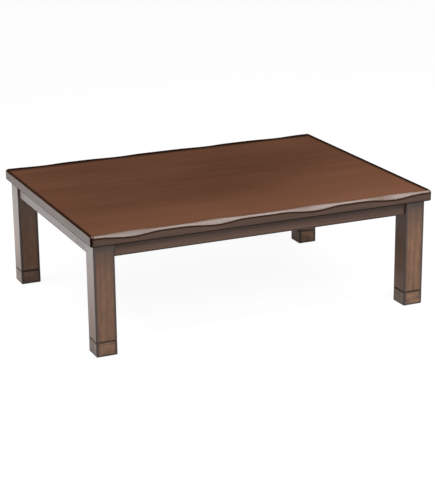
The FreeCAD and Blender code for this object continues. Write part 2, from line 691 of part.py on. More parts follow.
def guard_grille():
    """Slotted steel pan below the tubes."""
    drop = GRILLE_LIP_BOTTOM - GRILLE_BOTTOM
    slope = GRILLE_DRAFT / drop
    wall = GRILLE_SHEET * math.hypot(drop, GRILLE_DRAFT) / drop
    outer = square_cup(GRILLE_FLOOR_HALF, GRILLE_MOUTH_HALF, GRILLE_BOTTOM, GRILLE_LIP_BOTTOM)
    lip = square_block(LIP_HALF, (GRILLE_LIP_BOTTOM, REFLECTOR_LIP_BOTTOM))
    low_half = GRILLE_FLOOR_HALF - wall + slope * GRILLE_SHEET
    high_half = GRILLE_MOUTH_HALF - wall + slope * (GRILLE_SHEET + OVERRUN)
    hollow = square_cup(low_half, high_half, GRILLE_BOTTOM + GRILLE_SHEET, REFLECTOR_LIP_BOTTOM + OVERRUN)
    return outer.fuse(lip).cut([hollow, lead_hole()] + grille_slots())


def guard_frame():
    """Moulded ring that clamps the grille and the reflector against the case."""
    side = 2 * FLANGE_HALF
    ring = round_block(0, 0, side, side, CASE_CORNER_RADIUS, (GUARD_FRAME_BOTTOM, FLANGE_BOTTOM))
    lip_room = square_block(LIP_HALF + HOLE_CLEARANCE, (GRILLE_LIP_BOTTOM, FLANGE_BOTTOM + OVERRUN))
    mouth = square_block(GRILLE_MOUTH_HALF + HOLE_CLEARANCE, (GUARD_FRAME_BOTTOM - OVERRUN, FLANGE_BOTTOM))
    return ring.cut([lip_room, mouth, lead_hole()] + heater_screw_holes())


def heater_screws():
    sizes = (HEATER_SCREW_RADIUS, HEATER_SCREW_TOP - GUARD_FRAME_BOTTOM)
    heads = (HEATER_SCREW_HEAD_RADIUS, HEATER_SCREW_HEAD_HEIGHT)
    place = HEATER_SCREW_PLACE
    seats = [vec(sx * place, sy * place, GUARD_FRAME_BOTTOM) for sx, sy in CORNERS.values()]
    return Part.makeCompound([screw(*sizes, *heads, seat, UP) for seat in seats])


def add_heater_shell(parts):
    parts["heater_case"] = heater_case()
    parts["reflector"] = reflector()
    parts["guard_grille"] = guard_grille()
    parts["guard_frame"] = guard_frame()
    parts["heater_screws"] = heater_screws()


# Quartz tubes

def across(radius, y, from_x, to_x):
    """Round bar along X at tube height."""
    return rod(radius, vec(from_x, y, TUBE_Z), vec(to_x, y, TUBE_Z))


def quartz_tube(y):
    outer = across(TUBE_RADIUS, y, -TUBE_END_X, TUBE_END_X)
    return outer.cut(across(TUBE_RADIUS - TUBE_WALL, y, -TUBE_END_X - OVERRUN, TUBE_END_X + OVERRUN))


def end_cap(side, y):
    """Ceramic cup over one end of a tube."""
    cup = across(CAP_RADIUS, y, side * CAP_INNER_X, side * CAP_OUTER_X)
    bore_start = side * (CAP_INNER_X - OVERRUN)
    return cup.cut(across(TUBE_RADIUS + FIT_CLEARANCE, y, bore_start, side * TUBE_END_X))


def tube_holder(side):
    """Sheet bracket under the reflector that carries one end of both tubes."""
    ys = (-TUBE_Y - CAP_RADIUS - HOLDER_SKIRT, TUBE_Y + CAP_RADIUS + HOLDER_SKIRT)
    low = TUBE_Z - CAP_RADIUS - HOLDER_SKIRT
    plate = block((side * HOLDER_X, side * (HOLDER_X - HOLDER_SHEET)), ys, (low, REFLECTOR_CEILING))
    xs = (side * HOLDER_X, side * (HOLDER_X - HOLDER_FLANGE))
    flange = block(xs, ys, (REFLECTOR_CEILING - HOLDER_SHEET, REFLECTOR_CEILING))
    start = side * (HOLDER_X - HOLDER_FLANGE)
    end = side * (HOLDER_X + OVERRUN)
    holes = [across(CAP_RADIUS + FIT_CLEARANCE, y, start, end) for y in (-TUBE_Y, TUBE_Y)]
    return plate.fuse(flange).removeSplitter().cut(holes)


def add_tubes(parts):
    parts["quartz_tube_front"] = quartz_tube(-TUBE_Y)
    parts["quartz_tube_rear"] = quartz_tube(TUBE_Y)
    coils = [across(COIL_RADIUS, y, -TUBE_END_X, TUBE_END_X) for y in (-TUBE_Y, TUBE_Y)]
    parts["heating_coils"] = Part.makeCompound(coils)
    caps = [end_cap(side, y) for side in (-1, 1) for y in (-TUBE_Y, TUBE_Y)]
    parts["tube_end_caps"] = Part.makeCompound(caps)
    parts["tube_holders"] = Part.makeCompound([tube_holder(-1), tube_holder(1)])


# Fan and motor

def fan_rotor():
    """Hub with pitched blades."""
    hub = rod(FAN_HUB_RADIUS, vec(0, 0, FAN_BOTTOM), vec(0, 0, FAN_TOP))
    mid_z = (FAN_BOTTOM + FAN_TOP) / 2
    sweep = rod(FAN_RADIUS, vec(0, 0, FAN_BOTTOM), vec(0, 0, FAN_TOP))
    ys = (-FAN_BLADE_WIDTH / 2, FAN_BLADE_WIDTH / 2)
    zs = (mid_z - FAN_BLADE_THICKNESS / 2, mid_z + FAN_BLADE_THICKNESS / 2)
    flat = block((FAN_HUB_RADIUS / 2, FAN_RADIUS + OVERRUN), ys, zs)
    flat.rotate(vec(0, 0, mid_z), vec(1, 0, 0), FAN_BLADE_PITCH_DEGREES)
    blade = flat.common(sweep)
    for number in range(FAN_BLADES):
        copy = blade.copy()
        copy.rotate(ORIGIN, UP, 360 * number / FAN_BLADES)
        hub = hub.fuse(copy)
    bore = rod(SHAFT_RADIUS + FIT_CLEARANCE, vec(0, 0, FAN_BOTTOM - OVERRUN), vec(0, 0, FAN_TOP + OVERRUN))
    return hub.cut(bore)


def add_fan(parts):
    parts["fan_rotor"] = fan_rotor()
    shaft_top = MOTOR_BOTTOM + SHAFT_IN_MOTOR
    parts["fan_shaft"] = rod(SHAFT_RADIUS, vec(0, 0, FAN_BOTTOM), vec(0, 0, shaft_top))
    can = rod(MOTOR_RADIUS, vec(0, 0, MOTOR_BOTTOM), vec(0, 0, MOTOR_TOP))
    bore_top = vec(0, 0, shaft_top + HOLE_CLEARANCE)
    bore = rod(SHAFT_RADIUS + FIT_CLEARANCE, vec(0, 0, MOTOR_BOTTOM - OVERRUN), bore_top)
    parts["fan_motor"] = can.cut(bore)


# Electrical pieces

def power_inlet():
    """Socket under the guard frame, open to the left, for the supply connector."""
    xs = (-FLANGE_HALF, INLET_INNER_X)
    ys = (-INLET_WIDTH / 2, INLET_WIDTH / 2)
    body = block(xs, ys, (GUARD_FRAME_BOTTOM - INLET_HEIGHT, GUARD_FRAME_BOTTOM))
    mid_z = GUARD_FRAME_BOTTOM - INLET_HEIGHT / 2
    ys = (-INLET_RECESS_WIDTH / 2, INLET_RECESS_WIDTH / 2)
    zs = (mid_z - INLET_RECESS_HEIGHT / 2, mid_z + INLET_RECESS_HEIGHT / 2)
    recess = block((-FLANGE_HALF - OVERRUN, INLET_RECESS_X), ys, zs)
    return body.cut([recess] + inlet_pins(FIT_CLEARANCE))


def inlet_pins(gap):
    mid_z = GUARD_FRAME_BOTTOM - INLET_HEIGHT / 2
    floor_x = INLET_RECESS_X
    pins = []
    for y in (-PIN_SPACING / 2, PIN_SPACING / 2):
        tip = vec(floor_x - PIN_LENGTH, y, mid_z)
        pins.append(rod(PIN_RADIUS + gap, tip, vec(floor_x + PIN_ROOT, y, mid_z)))
    return pins


def bent_lead(points):
    """Round lead along straight runs that are joined by arcs."""
    edges = []
    start = points[0]
    for before, corner, after in zip(points, points[1:], points[2:]):
        back = (before - corner).normalize()
        ahead = (after - corner).normalize()
        half_turn = ahead.getAngle(back * -1) / 2
        cut = LEAD_BEND * math.tan(half_turn)
        bisector = (back + ahead).normalize()
        centre = corner + bisector * (LEAD_BEND / math.cos(half_turn))
        first = corner + back * cut
        last = corner + ahead * cut
        edges.append(Part.makeLine(start, first))
        edges.append(Part.Arc(first, centre - bisector * LEAD_BEND, last).toShape())
        start = last
    edges.append(Part.makeLine(start, points[-1]))
    profile = Part.Wire([Part.makeCircle(LEAD_RADIUS, points[0], points[1] - points[0])])
    return Part.Wire(edges).makePipeShell([profile], True, False)


def add_electrics(parts):
    floor = REFLECTOR_TOP
    mid = PIECE_MID
    low = vec(mid, mid, floor)
    parts["thermostat"] = rod(THERMOSTAT_RADIUS, low, low + UP * THERMOSTAT_HEIGHT)
    fuse_z = floor + FUSE_RADIUS
    fuse_ends = (vec(-mid - FUSE_LENGTH / 2, mid, fuse_z), vec(-mid + FUSE_LENGTH / 2, mid, fuse_z))
    parts["thermal_fuse"] = rod(FUSE_RADIUS, *fuse_ends)
    xs = (-mid - TERMINAL_LENGTH / 2, -mid + TERMINAL_LENGTH / 2)
    ys = (-mid - TERMINAL_WIDTH / 2, -mid + TERMINAL_WIDTH / 2)
    parts["terminal_block"] = block(xs, ys, (floor, floor + TERMINAL_HEIGHT))
    parts["power_inlet"] = power_inlet()
    parts["inlet_pins"] = Part.makeCompound(inlet_pins(0))
    lead_z = floor + TERMINAL_HEIGHT / 2
    supply = [
        vec(LEAD_X, 0, GUARD_FRAME_BOTTOM),
        vec(LEAD_X, 0, lead_z),
        vec(LEAD_X, -mid, lead_z),
        vec(xs[0], -mid, lead_z),
    ]
    thermostat_z = floor + THERMOSTAT_HEIGHT / 2
    to_thermostat = [
        vec(xs[1], -mid, thermostat_z),
        vec(mid, -mid, thermostat_z),
        vec(mid, mid - THERMOSTAT_RADIUS, thermostat_z),
    ]
    to_fuse = [vec(-mid, ys[1], fuse_z), vec(-mid, mid - FUSE_RADIUS, fuse_z)]
    leads = [bent_lead(supply), bent_lead(to_thermostat), rod(LEAD_RADIUS, *to_fuse)]
    parts["lead_wires"] = Part.makeCompound(leads)


def build():
    parts = {}
    add_board(parts)
    add_legs(parts)
    add_leg_bolts(parts)
    add_brackets(parts)
    add_frame(parts)
    add_grip_pads(parts)
    add_heater_shell(parts)
    add_tubes(parts)
    add_fan(parts)
    add_electrics(parts)
    return parts


def main():
    os.makedirs("parts", exist_ok=True)
    for name, shape in build().items():
        shape.exportStep(os.path.join("parts", name + ".step"))


main()
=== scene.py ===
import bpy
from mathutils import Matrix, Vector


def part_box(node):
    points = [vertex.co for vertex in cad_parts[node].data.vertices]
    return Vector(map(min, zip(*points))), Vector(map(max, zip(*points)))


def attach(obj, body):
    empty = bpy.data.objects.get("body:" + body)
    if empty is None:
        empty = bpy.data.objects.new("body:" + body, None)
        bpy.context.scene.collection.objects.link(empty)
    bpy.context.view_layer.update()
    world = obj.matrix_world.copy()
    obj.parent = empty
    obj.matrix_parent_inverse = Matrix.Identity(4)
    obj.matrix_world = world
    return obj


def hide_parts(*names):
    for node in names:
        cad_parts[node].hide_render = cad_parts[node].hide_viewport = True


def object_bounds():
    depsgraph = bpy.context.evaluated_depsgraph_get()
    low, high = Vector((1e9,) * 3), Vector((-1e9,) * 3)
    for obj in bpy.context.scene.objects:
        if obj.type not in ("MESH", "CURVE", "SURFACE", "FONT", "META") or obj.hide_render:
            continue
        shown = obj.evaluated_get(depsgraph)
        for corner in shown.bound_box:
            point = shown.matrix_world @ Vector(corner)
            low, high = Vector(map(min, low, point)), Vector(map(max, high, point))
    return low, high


bl_info = {
    "name": "Carved low table",
    "version": (1, 0, 0),
    "blender": (4, 5, 0),
    "location": "3D View > Sidebar > Low table",
    "description": "Dresses the solids of a low heated table: carved board edges, stained wood, heater and stage",
    "category": "Object",
}

import math

import bmesh
import bpy
from mathutils import Matrix, Vector, noise

# Metres. X runs along the long side, Y to the rear, Z up; the origin is on the floor, mid table.

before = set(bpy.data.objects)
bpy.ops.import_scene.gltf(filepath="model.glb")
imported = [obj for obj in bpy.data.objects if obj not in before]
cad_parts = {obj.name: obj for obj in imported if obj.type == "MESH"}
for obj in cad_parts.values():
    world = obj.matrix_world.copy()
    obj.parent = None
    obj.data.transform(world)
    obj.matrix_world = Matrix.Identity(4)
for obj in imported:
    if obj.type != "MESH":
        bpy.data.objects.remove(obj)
CAD_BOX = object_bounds()
MM = 0.001
CORNERS = ("front_left", "front_right", "rear_left", "rear_right")


# Sizes and colours that a user would change

def length(name, description, default):
    """A length setting, its default given in millimetres."""
    return bpy.props.FloatProperty(name=name, description=description, default=default * MM, unit="LENGTH")


def angle(name, description, default):
    """An angle setting, its default given in degrees."""
    return bpy.props.FloatProperty(
        name=name, description=description, default=math.radians(default), subtype="ANGLE")


def amount(name, description, default):
    """A setting without a unit, or in the unit that its description gives."""
    return bpy.props.FloatProperty(name=name, description=description, default=default)


def colour(name, description, red, green, blue):
    """A colour setting, its default given as it shows on a screen, from 0 to 255."""
    linear = []
    for channel in (red, green, blue):
        share = channel / 255
        linear.append(share / 12.92 if share <= 0.04045 else ((share + 0.055) / 1.055) ** 2.4)
    return bpy.props.FloatVectorProperty(
        name=name, description=description, default=linear, size=3, min=0, max=1, subtype="COLOR")


class TableSizes(bpy.types.PropertyGroup):
    bevel: length("Bevel", "Width on each face of the long edges' bevel between the scoops", 6)
    end_bevel: length("End bevel", "Width on each face of the short edges' bevel", 5)
    underside_bevel: length("Underside bevel", "Width of the small bevel round the board's underside", 1.5)
    arris_radius: length("Arris radius", "Radius of the worn edges on both sides of the bevel", 1.6)
    corner_radius: length("Corner radius", "Radius of the board's corners, seen from above", 13)
    # The bands below are stain, made wider and darker along the rear and right edges by painted shade.
    front_band: length("Front band", "Width of the faint stain that fades inwards from the front edge", 30)
    rear_band: length("Rear band", "Width of the dark stain that fades inwards from the rear edge", 56)
    left_band: length("Left band", "Width of the dark stain that fades inwards from the left edge", 10)
    right_band: length("Right band", "Width of the dark stain that fades inwards from the right edge", 28)
    # The top pales away from a dark line behind its middle, more so to the right: partly paler wood, partly
    # painted light on its front and right.
    dark_line_place: length("Heart place", "Where the top's darkest wood lies, behind the board's middle", 100)
    paling_reach: length("Heart reach", "Distance from the darkest wood at which the top would be all pale", 1270)
    scoop_depth: length("Scoop depth", "How far a scoop goes in, square to the bevel", 5.6)
    scoop_left: length("Scoop's left run", "Length of a scoop's gentle left half", 118)
    scoop_right: length("Scoop's right run", "Length of a scoop's steeper right half", 98)
    scoop_shares: bpy.props.FloatVectorProperty(
        name="Scoop places", description="Deepest point of each scoop, as a share of the long side",
        default=(0.113, 0.350, 0.637, 0.882), size=4)
    coil_pitch: length("Coil pitch", "Distance from turn to turn of the heating wire", 2.6)
    coil_wire: length("Coil wire", "Radius of the heating wire", 0.45)
    thread_pitch: length("Thread pitch", "Distance from thread to thread on studs and leg bolts", 1.25)


class TableColours(bpy.types.PropertyGroup):
    top_light: colour("Top, light", "Light streaks of the board's veneer", 122, 82, 62)
    top_dark: colour("Top, dark", "Dark streaks of the board's veneer", 80, 51, 37)
    # Partly paler wood, partly painted light on the top's front and right
    top_pale: colour("Top, pale", "Paler wood of the top away from its darkest part", 156, 108, 82)
    edge_light: colour("Edge, light", "Light streaks of the board's edges", 108, 77, 58)
    edge_dark: colour("Edge, dark", "Dark streaks of the board's edges", 76, 51, 37)
    # The stain colour also paints shade: under the board's edges, along its rear and right sides, and on the
    # aprons under the board and beside the legs.
    stain: colour("Stain", "Dark stain along edges and joints", 32, 20, 14)
    # The warm stain colour also paints the board's shadow on the legs' tops.
    warm_stain_and_shade: colour("Warm stain", "Brown stain along the arrises of legs and feet", 54, 30, 16)
    apron_light: colour("Apron, light", "Light streaks of the aprons", 136, 102, 84)
    apron_dark: colour("Apron, dark", "Dark streaks of the aprons", 88, 62, 50)
    leg_light: colour("Leg, light", "Light streaks of the legs", 156, 106, 68)
    leg_dark: colour("Leg, dark", "Dark streaks of the legs", 98, 65, 42)
    foot_light: colour("Foot, light", "Light streaks of the extension feet", 158, 116, 82)
    foot_dark: colour("Foot, dark", "Dark streaks of the extension feet", 94, 66, 46)
    rail_light: colour("Rail, light", "Light streaks of the bare rails", 222, 188, 140)
    rail_dark: colour("Rail, dark", "Dark streaks of the bare rails", 190, 148, 98)
    backing: colour("Backing", "Sheet under the board", 112, 86, 66)
    zinc: colour("Zinc", "Plated steel", 190, 192, 190)
    grille: colour("Grille", "Painted steel of the guard grille", 34, 34, 35)
    case: colour("Case", "Painted steel of the heater's case", 66, 66, 68)
    plastic: colour("Plastic", "Moulded guard frame", 46, 44, 43)


class TableStage(bpy.types.PropertyGroup):
    camera_place: bpy.props.FloatVectorProperty(
        name="Camera place", description="Where the camera stands",
        default=(-2.07621, -4.72156, 1.80718), size=3, subtype="TRANSLATION", unit="LENGTH")
    camera_yaw: angle("Camera yaw", "Turn to the right from looking along +Y", 23.908)
    camera_pitch: angle("Camera pitch", "How far the camera looks down", 17.714)
    camera_roll: angle("Camera roll", "Turn about the line of sight", -0.601)
    lens: amount("Lens", "Focal length in millimetres, for a 36 mm frame on its longer side", 113.63)
    floor_side: length("Floor side", "Length of the square floor's side", 60000)
    ambient: amount("Ambient light", "Strength of the even light from all round", 0.28)
    overhead_power: amount("Overhead lamp", "Power of the soft lamp over the table, in watts", 50)
    side_power: amount("Side lamp", "Power of the soft lamp over the floor on the left, in watts", 19)
    front_power: amount("Front lamp", "Power of the soft lamp in front, in watts", 54)


# Node trees

def empty_tree(owner):
    """The emptied node tree of a material or a world."""
    owner.use_nodes = True
    owner.node_tree.nodes.clear()
    return owner.node_tree


def feed(tree, socket, value):
    """Links an output to a socket, or sets the socket to a plain value."""
    if isinstance(value, bpy.types.NodeSocket):
        tree.links.new(value, socket)
    else:
        socket.default_value = value


def add_node(tree, kind, inputs=None, **settings):
    """New node with its settings, and with inputs given by name or number."""
    made = tree.nodes.new(kind)
    for name, value in settings.items():
        setattr(made, name, value)
    for key, value in (inputs or {}).items():
        feed(tree, made.inputs[key], value)
    return made


def output_of(tree, kind, inputs=None, **settings):
    """First output of a new node."""
    return add_node(tree, kind, inputs, **settings).outputs[0]


def marked(tree, name, kind="FLOAT"):
    """A named attribute of the geometry."""
    return output_of(tree, "GeometryNodeInputNamedAttribute", {"Name": name}, data_type=kind)


def reckon(tree, operation, first, second=0.0, third=0.0):
    """Result of a Math node."""
    values = {0: first, 1: second, 2: third}
    return output_of(tree, "ShaderNodeMath", values, operation=operation)


def remap(tree, value, from_low, from_high, to_low, to_high):
    """Value carried from one range to another, and kept inside it."""
    values = {"Value": value, "From Min": from_low, "From Max": from_high, "To Min": to_low, "To Max": to_high}
    return add_node(tree, "ShaderNodeMapRange", values).outputs["Result"]


def blend(tree, share, first, second):
    """Colour between two, each an output or its red, green and blue."""
    values = {0: share}
    for slot, shade in ((6, first), (7, second)):
        values[slot] = shade if isinstance(shade, bpy.types.NodeSocket) else (*shade, 1.0)
    return add_node(tree, "ShaderNodeMix", values, data_type="RGBA").outputs[2]


def speckle(tree, place, scale, detail=2.0, roughness=0.5, distortion=0.0):
    """Noise from 0 to 1."""
    values = {"Vector": place, "Scale": scale, "Detail": detail, "Roughness": roughness, "Distortion": distortion}
    return output_of(tree, "ShaderNodeTexNoise", values)


def stretch(tree, place, factors):
    """Place with each axis multiplied by its own factor."""
    return output_of(tree, "ShaderNodeVectorMath", {0: place, 1: factors}, operation="MULTIPLY")


def shift(tree, place, offset):
    """Place moved by an offset."""
    return output_of(tree, "ShaderNodeVectorMath", {0: place, 1: offset}, operation="ADD")


def toned(shade, factor):
    """Lighter or darker copy of a colour."""
    return tuple(min(1.0, channel * factor) for channel in shade)


# Finishes

# Figure of the wood: how often its features repeat in a metre, along the grain and across it twice
WAVER_SCALES = (1.4, 9, 9)
RING_SCALES = (0.06, 1, 1)
BAND_SCALES = (1.8, 10, 10)
STREAK_SCALES = (3.2, 110, 110)
PORE_SCALES = (14, 900, 900)
WAVER_REACH = (0, 30 * MM, 30 * MM)
RING_CENTRE = (0, 130 * MM, 310 * MM)
WOOD_RELIEF = 0.3 * MM
GRIT_DEPTH = 0.2 * MM
CUT_DEPTH = 0.5 * MM
FLAKE_DEPTH = 0.4 * MM


def start_finish(name, **sockets):
    """Empty material with a surface shader whose plain sockets are set by name."""
    material = bpy.data.materials.new(name)
    tree = empty_tree(material)
    shader = tree.nodes.new("ShaderNodeBsdfPrincipled")
    for socket, value in sockets.items():
        shader.inputs[socket.replace("_", " ")].default_value = value
    output = tree.nodes.new("ShaderNodeOutputMaterial")
    tree.links.new(shader.outputs[0], output.inputs["Surface"])
    place = tree.nodes.new("ShaderNodeTexCoord").outputs["Object"]
    return material, tree, shader, place


def dress(tree, shader, shade, rough, height, strength, depth):
    """Links a finish's colour and roughness, and raises its surface by a height."""
    bump = add_node(tree, "ShaderNodeBump", {"Strength": strength, "Distance": depth, "Height": height})
    for socket, value in (("Base Color", shade), ("Roughness", rough), ("Normal", bump.outputs[0])):
        tree.links.new(value, shader.inputs[socket])


def along_grain(tree, place, grain):
    """Place with its first axis along the grain."""
    axes = {"X": (0, 1, 2), "Y": (1, 0, 2), "Z": (2, 0, 1)}[grain]
    parts = add_node(tree, "ShaderNodeSeparateXYZ", {0: place}).outputs
    turned = {slot: parts[axis] for slot, axis in enumerate(axes)}
    return output_of(tree, "ShaderNodeCombineXYZ", turned), parts


def wood(name, light, dark, grain, gloss=0.5, roughness=0.42, figure=1.0, coat=0.0, relief=0.3,
         weights=(0.12, 0.6, 0.42), blotch=(6, 20, 0.0), blotch_shift=(0, 0, 0), layers=(), bare=None):
    """Stained wood: growth rings, bands, streaks and clouds along the grain, pores, layers by their masks,
    and less varnish where the bare mask is high."""
    material, tree, shader, place = start_finish(
        name, Specular_IOR_Level=gloss, Coat_Weight=coat, Coat_IOR=1.4, Coat_Roughness=0.3)
    line, parts = along_grain(tree, place, grain)
    waver = add_node(tree, "ShaderNodeTexNoise", {"Vector": stretch(tree, line, WAVER_SCALES), "Scale": 1.0})
    bent = shift(tree, line, stretch(tree, waver.outputs["Color"], WAVER_REACH))
    moved = output_of(tree, "ShaderNodeMapping", {"Vector": bent, "Location": RING_CENTRE})
    rings = add_node(
        tree, "ShaderNodeTexWave",
        {"Vector": stretch(tree, moved, RING_SCALES), "Scale": 15.0, "Distortion": 4.0, "Detail": 3.0,
         "Detail Scale": 2.0, "Detail Roughness": 0.6},
        wave_type="RINGS", rings_direction="X", wave_profile="SIN").outputs["Fac"]
    bands = speckle(tree, stretch(tree, bent, BAND_SCALES), 1.0, 3.0)
    streaks = speckle(tree, stretch(tree, bent, STREAK_SCALES), 1.0, 5.0, 0.6)
    fine = speckle(tree, stretch(tree, line, PORE_SCALES), 1.0, 2.0, 0.6)
    along, across, uneven = blotch
    drifted = shift(tree, bent, blotch_shift)
    clouds = speckle(tree, stretch(tree, drifted, (along, across, across)), 1.0, 3.0)
    tone = reckon(tree, "MULTIPLY", clouds, uneven)
    for figure_part, weight in zip((rings, bands, streaks), weights):
        tone = reckon(tree, "MULTIPLY_ADD", figure_part, weight, tone)
    middle = 0.5 * (sum(weights) + uneven)
    spread = 0.26 / figure
    share = remap(tree, tone, middle - spread, middle + spread, 0.0, 1.0)
    shade = blend(tree, share, dark, light)
    pores = remap(tree, fine, 0.60, 0.72, 0.0, 0.3)
    shade = blend(tree, pores, shade, toned(dark, 0.55))
    for mask, tint in layers:
        shade = blend(tree, mask(tree, parts), shade, tint)
    rough = remap(tree, streaks, 0.3, 0.7, roughness + 0.05, roughness - 0.05)
    if bare:
        raw = bare(tree, parts)
        covered = reckon(tree, "MULTIPLY", reckon(tree, "SUBTRACT", 1.0, raw), coat)
        tree.links.new(covered, shader.inputs["Coat Weight"])
        rough = reckon(tree, "MAXIMUM", rough, reckon(tree, "MULTIPLY", raw, 0.9))
    height = reckon(tree, "MULTIPLY_ADD", fine, -0.6, reckon(tree, "MULTIPLY", streaks, 0.4))
    dress(tree, shader, shade, rough, height, relief, WOOD_RELIEF)
    return material


def plain(name, shade, roughness=0.5, gloss=0.5, metal=0.0, mottle=0.12, mottle_scale=70.0,
          grit=0.2, grit_scale=900.0, stretched=(1, 1, 1)):
    """Paint, plastic, metal or rubber, a little uneven in colour, gloss and surface."""
    material, tree, shader, place = start_finish(name, Metallic=metal, Specular_IOR_Level=gloss)
    clouds = speckle(tree, place, mottle_scale, 4.0, 0.6)
    share = remap(tree, clouds, 0.35, 0.65, 0.0, 1.0)
    tint = blend(tree, share, toned(shade, 1 - mottle), toned(shade, 1 + mottle))
    grain = speckle(tree, stretch(tree, place, stretched), grit_scale, 3.0, 0.6)
    rough = remap(tree, reckon(tree, "ADD", grain, clouds), 0.7, 1.3, roughness - 0.06, roughness + 0.06)
    dress(tree, shader, tint, rough, grain, grit, GRIT_DEPTH)
    return material


def threaded(name, shade, pitch, direction="Z"):
    """Plated steel with a cut thread round it."""
    material, tree, shader, place = start_finish(name, Metallic=1.0)
    wave = add_node(
        tree, "ShaderNodeTexWave", {"Vector": place, "Scale": 0.314 / pitch, "Distortion": 0.0},
        wave_type="BANDS", bands_direction=direction, wave_profile="SIN").outputs["Fac"]
    tint = blend(tree, remap(tree, wave, 0.0, 0.6, 0.7, 0.0), shade, toned(shade, 0.35))
    rough = remap(tree, speckle(tree, place, 500.0), 0.3, 0.7, 0.28, 0.42)
    dress(tree, shader, tint, rough, wave, 0.9, CUT_DEPTH)
    return material


def chipboard(name, light, dark):
    """Pressed flakes in mixed tones."""
    material, tree, shader, place = start_finish(name, Specular_IOR_Level=0.2)
    flakes = add_node(tree, "ShaderNodeTexVoronoi", {"Vector": stretch(tree, place, (1, 1, 3)), "Scale": 320.0})
    tone = output_of(tree, "ShaderNodeSeparateColor", {0: flakes.outputs["Color"]})
    rough = remap(tree, tone, 0.0, 1.0, 0.75, 0.9)
    dress(tree, shader, blend(tree, tone, dark, light), rough, flakes.outputs["Distance"], 0.4, FLAKE_DEPTH)
    return material


def felt(name, shade):
    """Pressed fibres with a soft nap."""
    material, tree, shader, place = start_finish(
        name, Specular_IOR_Level=0.1, Sheen_Weight=0.35, Sheen_Roughness=0.6)
    fibres = speckle(tree, place, 1500.0, 4.0, 0.7, 2.5)
    clumps = speckle(tree, place, 260.0, 3.0)
    tone = reckon(tree, "MULTIPLY_ADD", clumps, 0.5, reckon(tree, "MULTIPLY", fibres, 0.5))
    tint = blend(tree, remap(tree, tone, 0.35, 0.65, 0.0, 1.0), toned(shade, 0.6), toned(shade, 1.5))
    dress(tree, shader, tint, remap(tree, fibres, 0.3, 0.7, 0.85, 0.98), fibres, 0.8, CUT_DEPTH)
    return material


def glass(name, shade):
    """Quartz tube, clear with faint drawing lines."""
    material, tree, shader, place = start_finish(name, Transmission_Weight=0.92, IOR=1.46)
    lines = speckle(tree, stretch(tree, place, (6, 260, 260)), 1.0, 3.0)
    rough = remap(tree, lines, 0.3, 0.7, 0.04, 0.12)
    dress(tree, shader, blend(tree, lines, toned(shade, 0.96), shade), rough, lines, 0.1, GRIT_DEPTH)
    return material


# Dark stain and painted shade: how far each reaches from an edge or a level, and how strong it is there

ARRIS_REACHES = (14 * MM, 8 * MM)
JOINT_REACH = 5.5 * MM
JOINT_BARENESS = 0.75
# Darker round a foot's base: reach and strength
BASE_DARKENING = (10 * MM, 0.95)
# Painted shadow of the board on the legs' tops: reach and strength of each of its two layers
LEG_TOP_SHADOWS = ((170 * MM, 0.6), (45 * MM, 0.45))
# Stain along the aprons' lower arrises, and painted shade at their ends beside the legs
APRON_EDGE_STAIN_AND_SHADE = (7 * MM, 0.85)
# Painted shadow of the board on the aprons' upper parts
APRON_TOP_SHADOW = (40 * MM, 0.6)
FULL_SHARE = 0.35  # share of a band's reach over which its darkening is full
# Strength of the top's band at each side: stain, with painted shade making it strongest along the rear and right
# edges
BAND_STAIN_AND_SHADE = {"left": 0.75, "right": 1.0, "front": 0.15, "rear": 0.95}


def marked_stain_and_shade(tree, parts):
    """Stain, and painted shade under the board, where its edges are marked for them."""
    mark = add_node(tree, "ShaderNodeAttribute", attribute_name="stain", attribute_type="GEOMETRY")
    return mark.outputs["Fac"]


def board_stain_and_shade(tree, parts):
    """Stain and painted shade marked on the board's edges, and bands that fade inwards from its four sides: stain,
    with painted shade along the rear and right edges.
    """
    sizes = bpy.context.scene.table_sizes
    masks = [marked_stain_and_shade(tree, parts)]
    for side, axis, way in (("left", 0, -1), ("right", 0, 1), ("front", 1, -1), ("rear", 1, 1)):
        band = getattr(sizes, side + "_band")
        inset = reckon(tree, "MULTIPLY_ADD", parts[axis], -way, CAD_BOX[1][axis])
        masks.append(remap(tree, inset, 0.5 * band, band, BAND_STAIN_AND_SHADE[side], 0.0))
    return darkest(tree, *masks)


def pale_wood_and_painted_light(tree, parts):
    """Share of paler colour on the top, growing with the distance from its darkest line and towards the right:
    partly paler wood, partly painted light.
    """
    sizes = bpy.context.scene.table_sizes
    away = reckon(tree, "SUBTRACT", parts[1], sizes.dark_line_place)
    share = reckon(tree, "DIVIDE", reckon(tree, "ABSOLUTE", away), sizes.paling_reach)
    slant = reckon(tree, "MULTIPLY_ADD", parts[0], 0.35, 1.0)
    return reckon(tree, "MULTIPLY", reckon(tree, "POWER", share, 1.4), slant)


def near_arris(tree, parts, node):
    """Stain along the upright edges of four alike posts, wider on their front and rear faces."""
    low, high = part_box(node)
    gaps = []
    for axis, reach in enumerate(ARRIS_REACHES):
        middle = abs(low[axis] + high[axis]) / 2
        away = reckon(tree, "ABSOLUTE", reckon(tree, "SUBTRACT", reckon(tree, "ABSOLUTE", parts[axis]), middle))
        half = (high[axis] - low[axis]) / 2
        gaps.append(remap(tree, away, half - reach, half - FULL_SHARE * reach, 0.0, 1.0))
    return reckon(tree, "POWER", reckon(tree, "MINIMUM", *gaps), 1.2)


def band_at(tree, value, level, reach, strength):
    """Darkening within reach of a level, strongest on it."""
    away = reckon(tree, "ABSOLUTE", reckon(tree, "SUBTRACT", value, level))
    return remap(tree, away, FULL_SHARE * reach, reach, strength, 0.0)


def shade_under(tree, value, level, reach, strength):
    """Painted shadow that is strongest just under a level and fades evenly over its reach."""
    return remap(tree, reckon(tree, "SUBTRACT", level, value), 0.0, reach, strength, 0.0)


def darkest(tree, result, *masks):
    """The strongest of several stains and painted shades at each spot."""
    for mask in masks:
        result = reckon(tree, "MAXIMUM", result, mask)
    return result


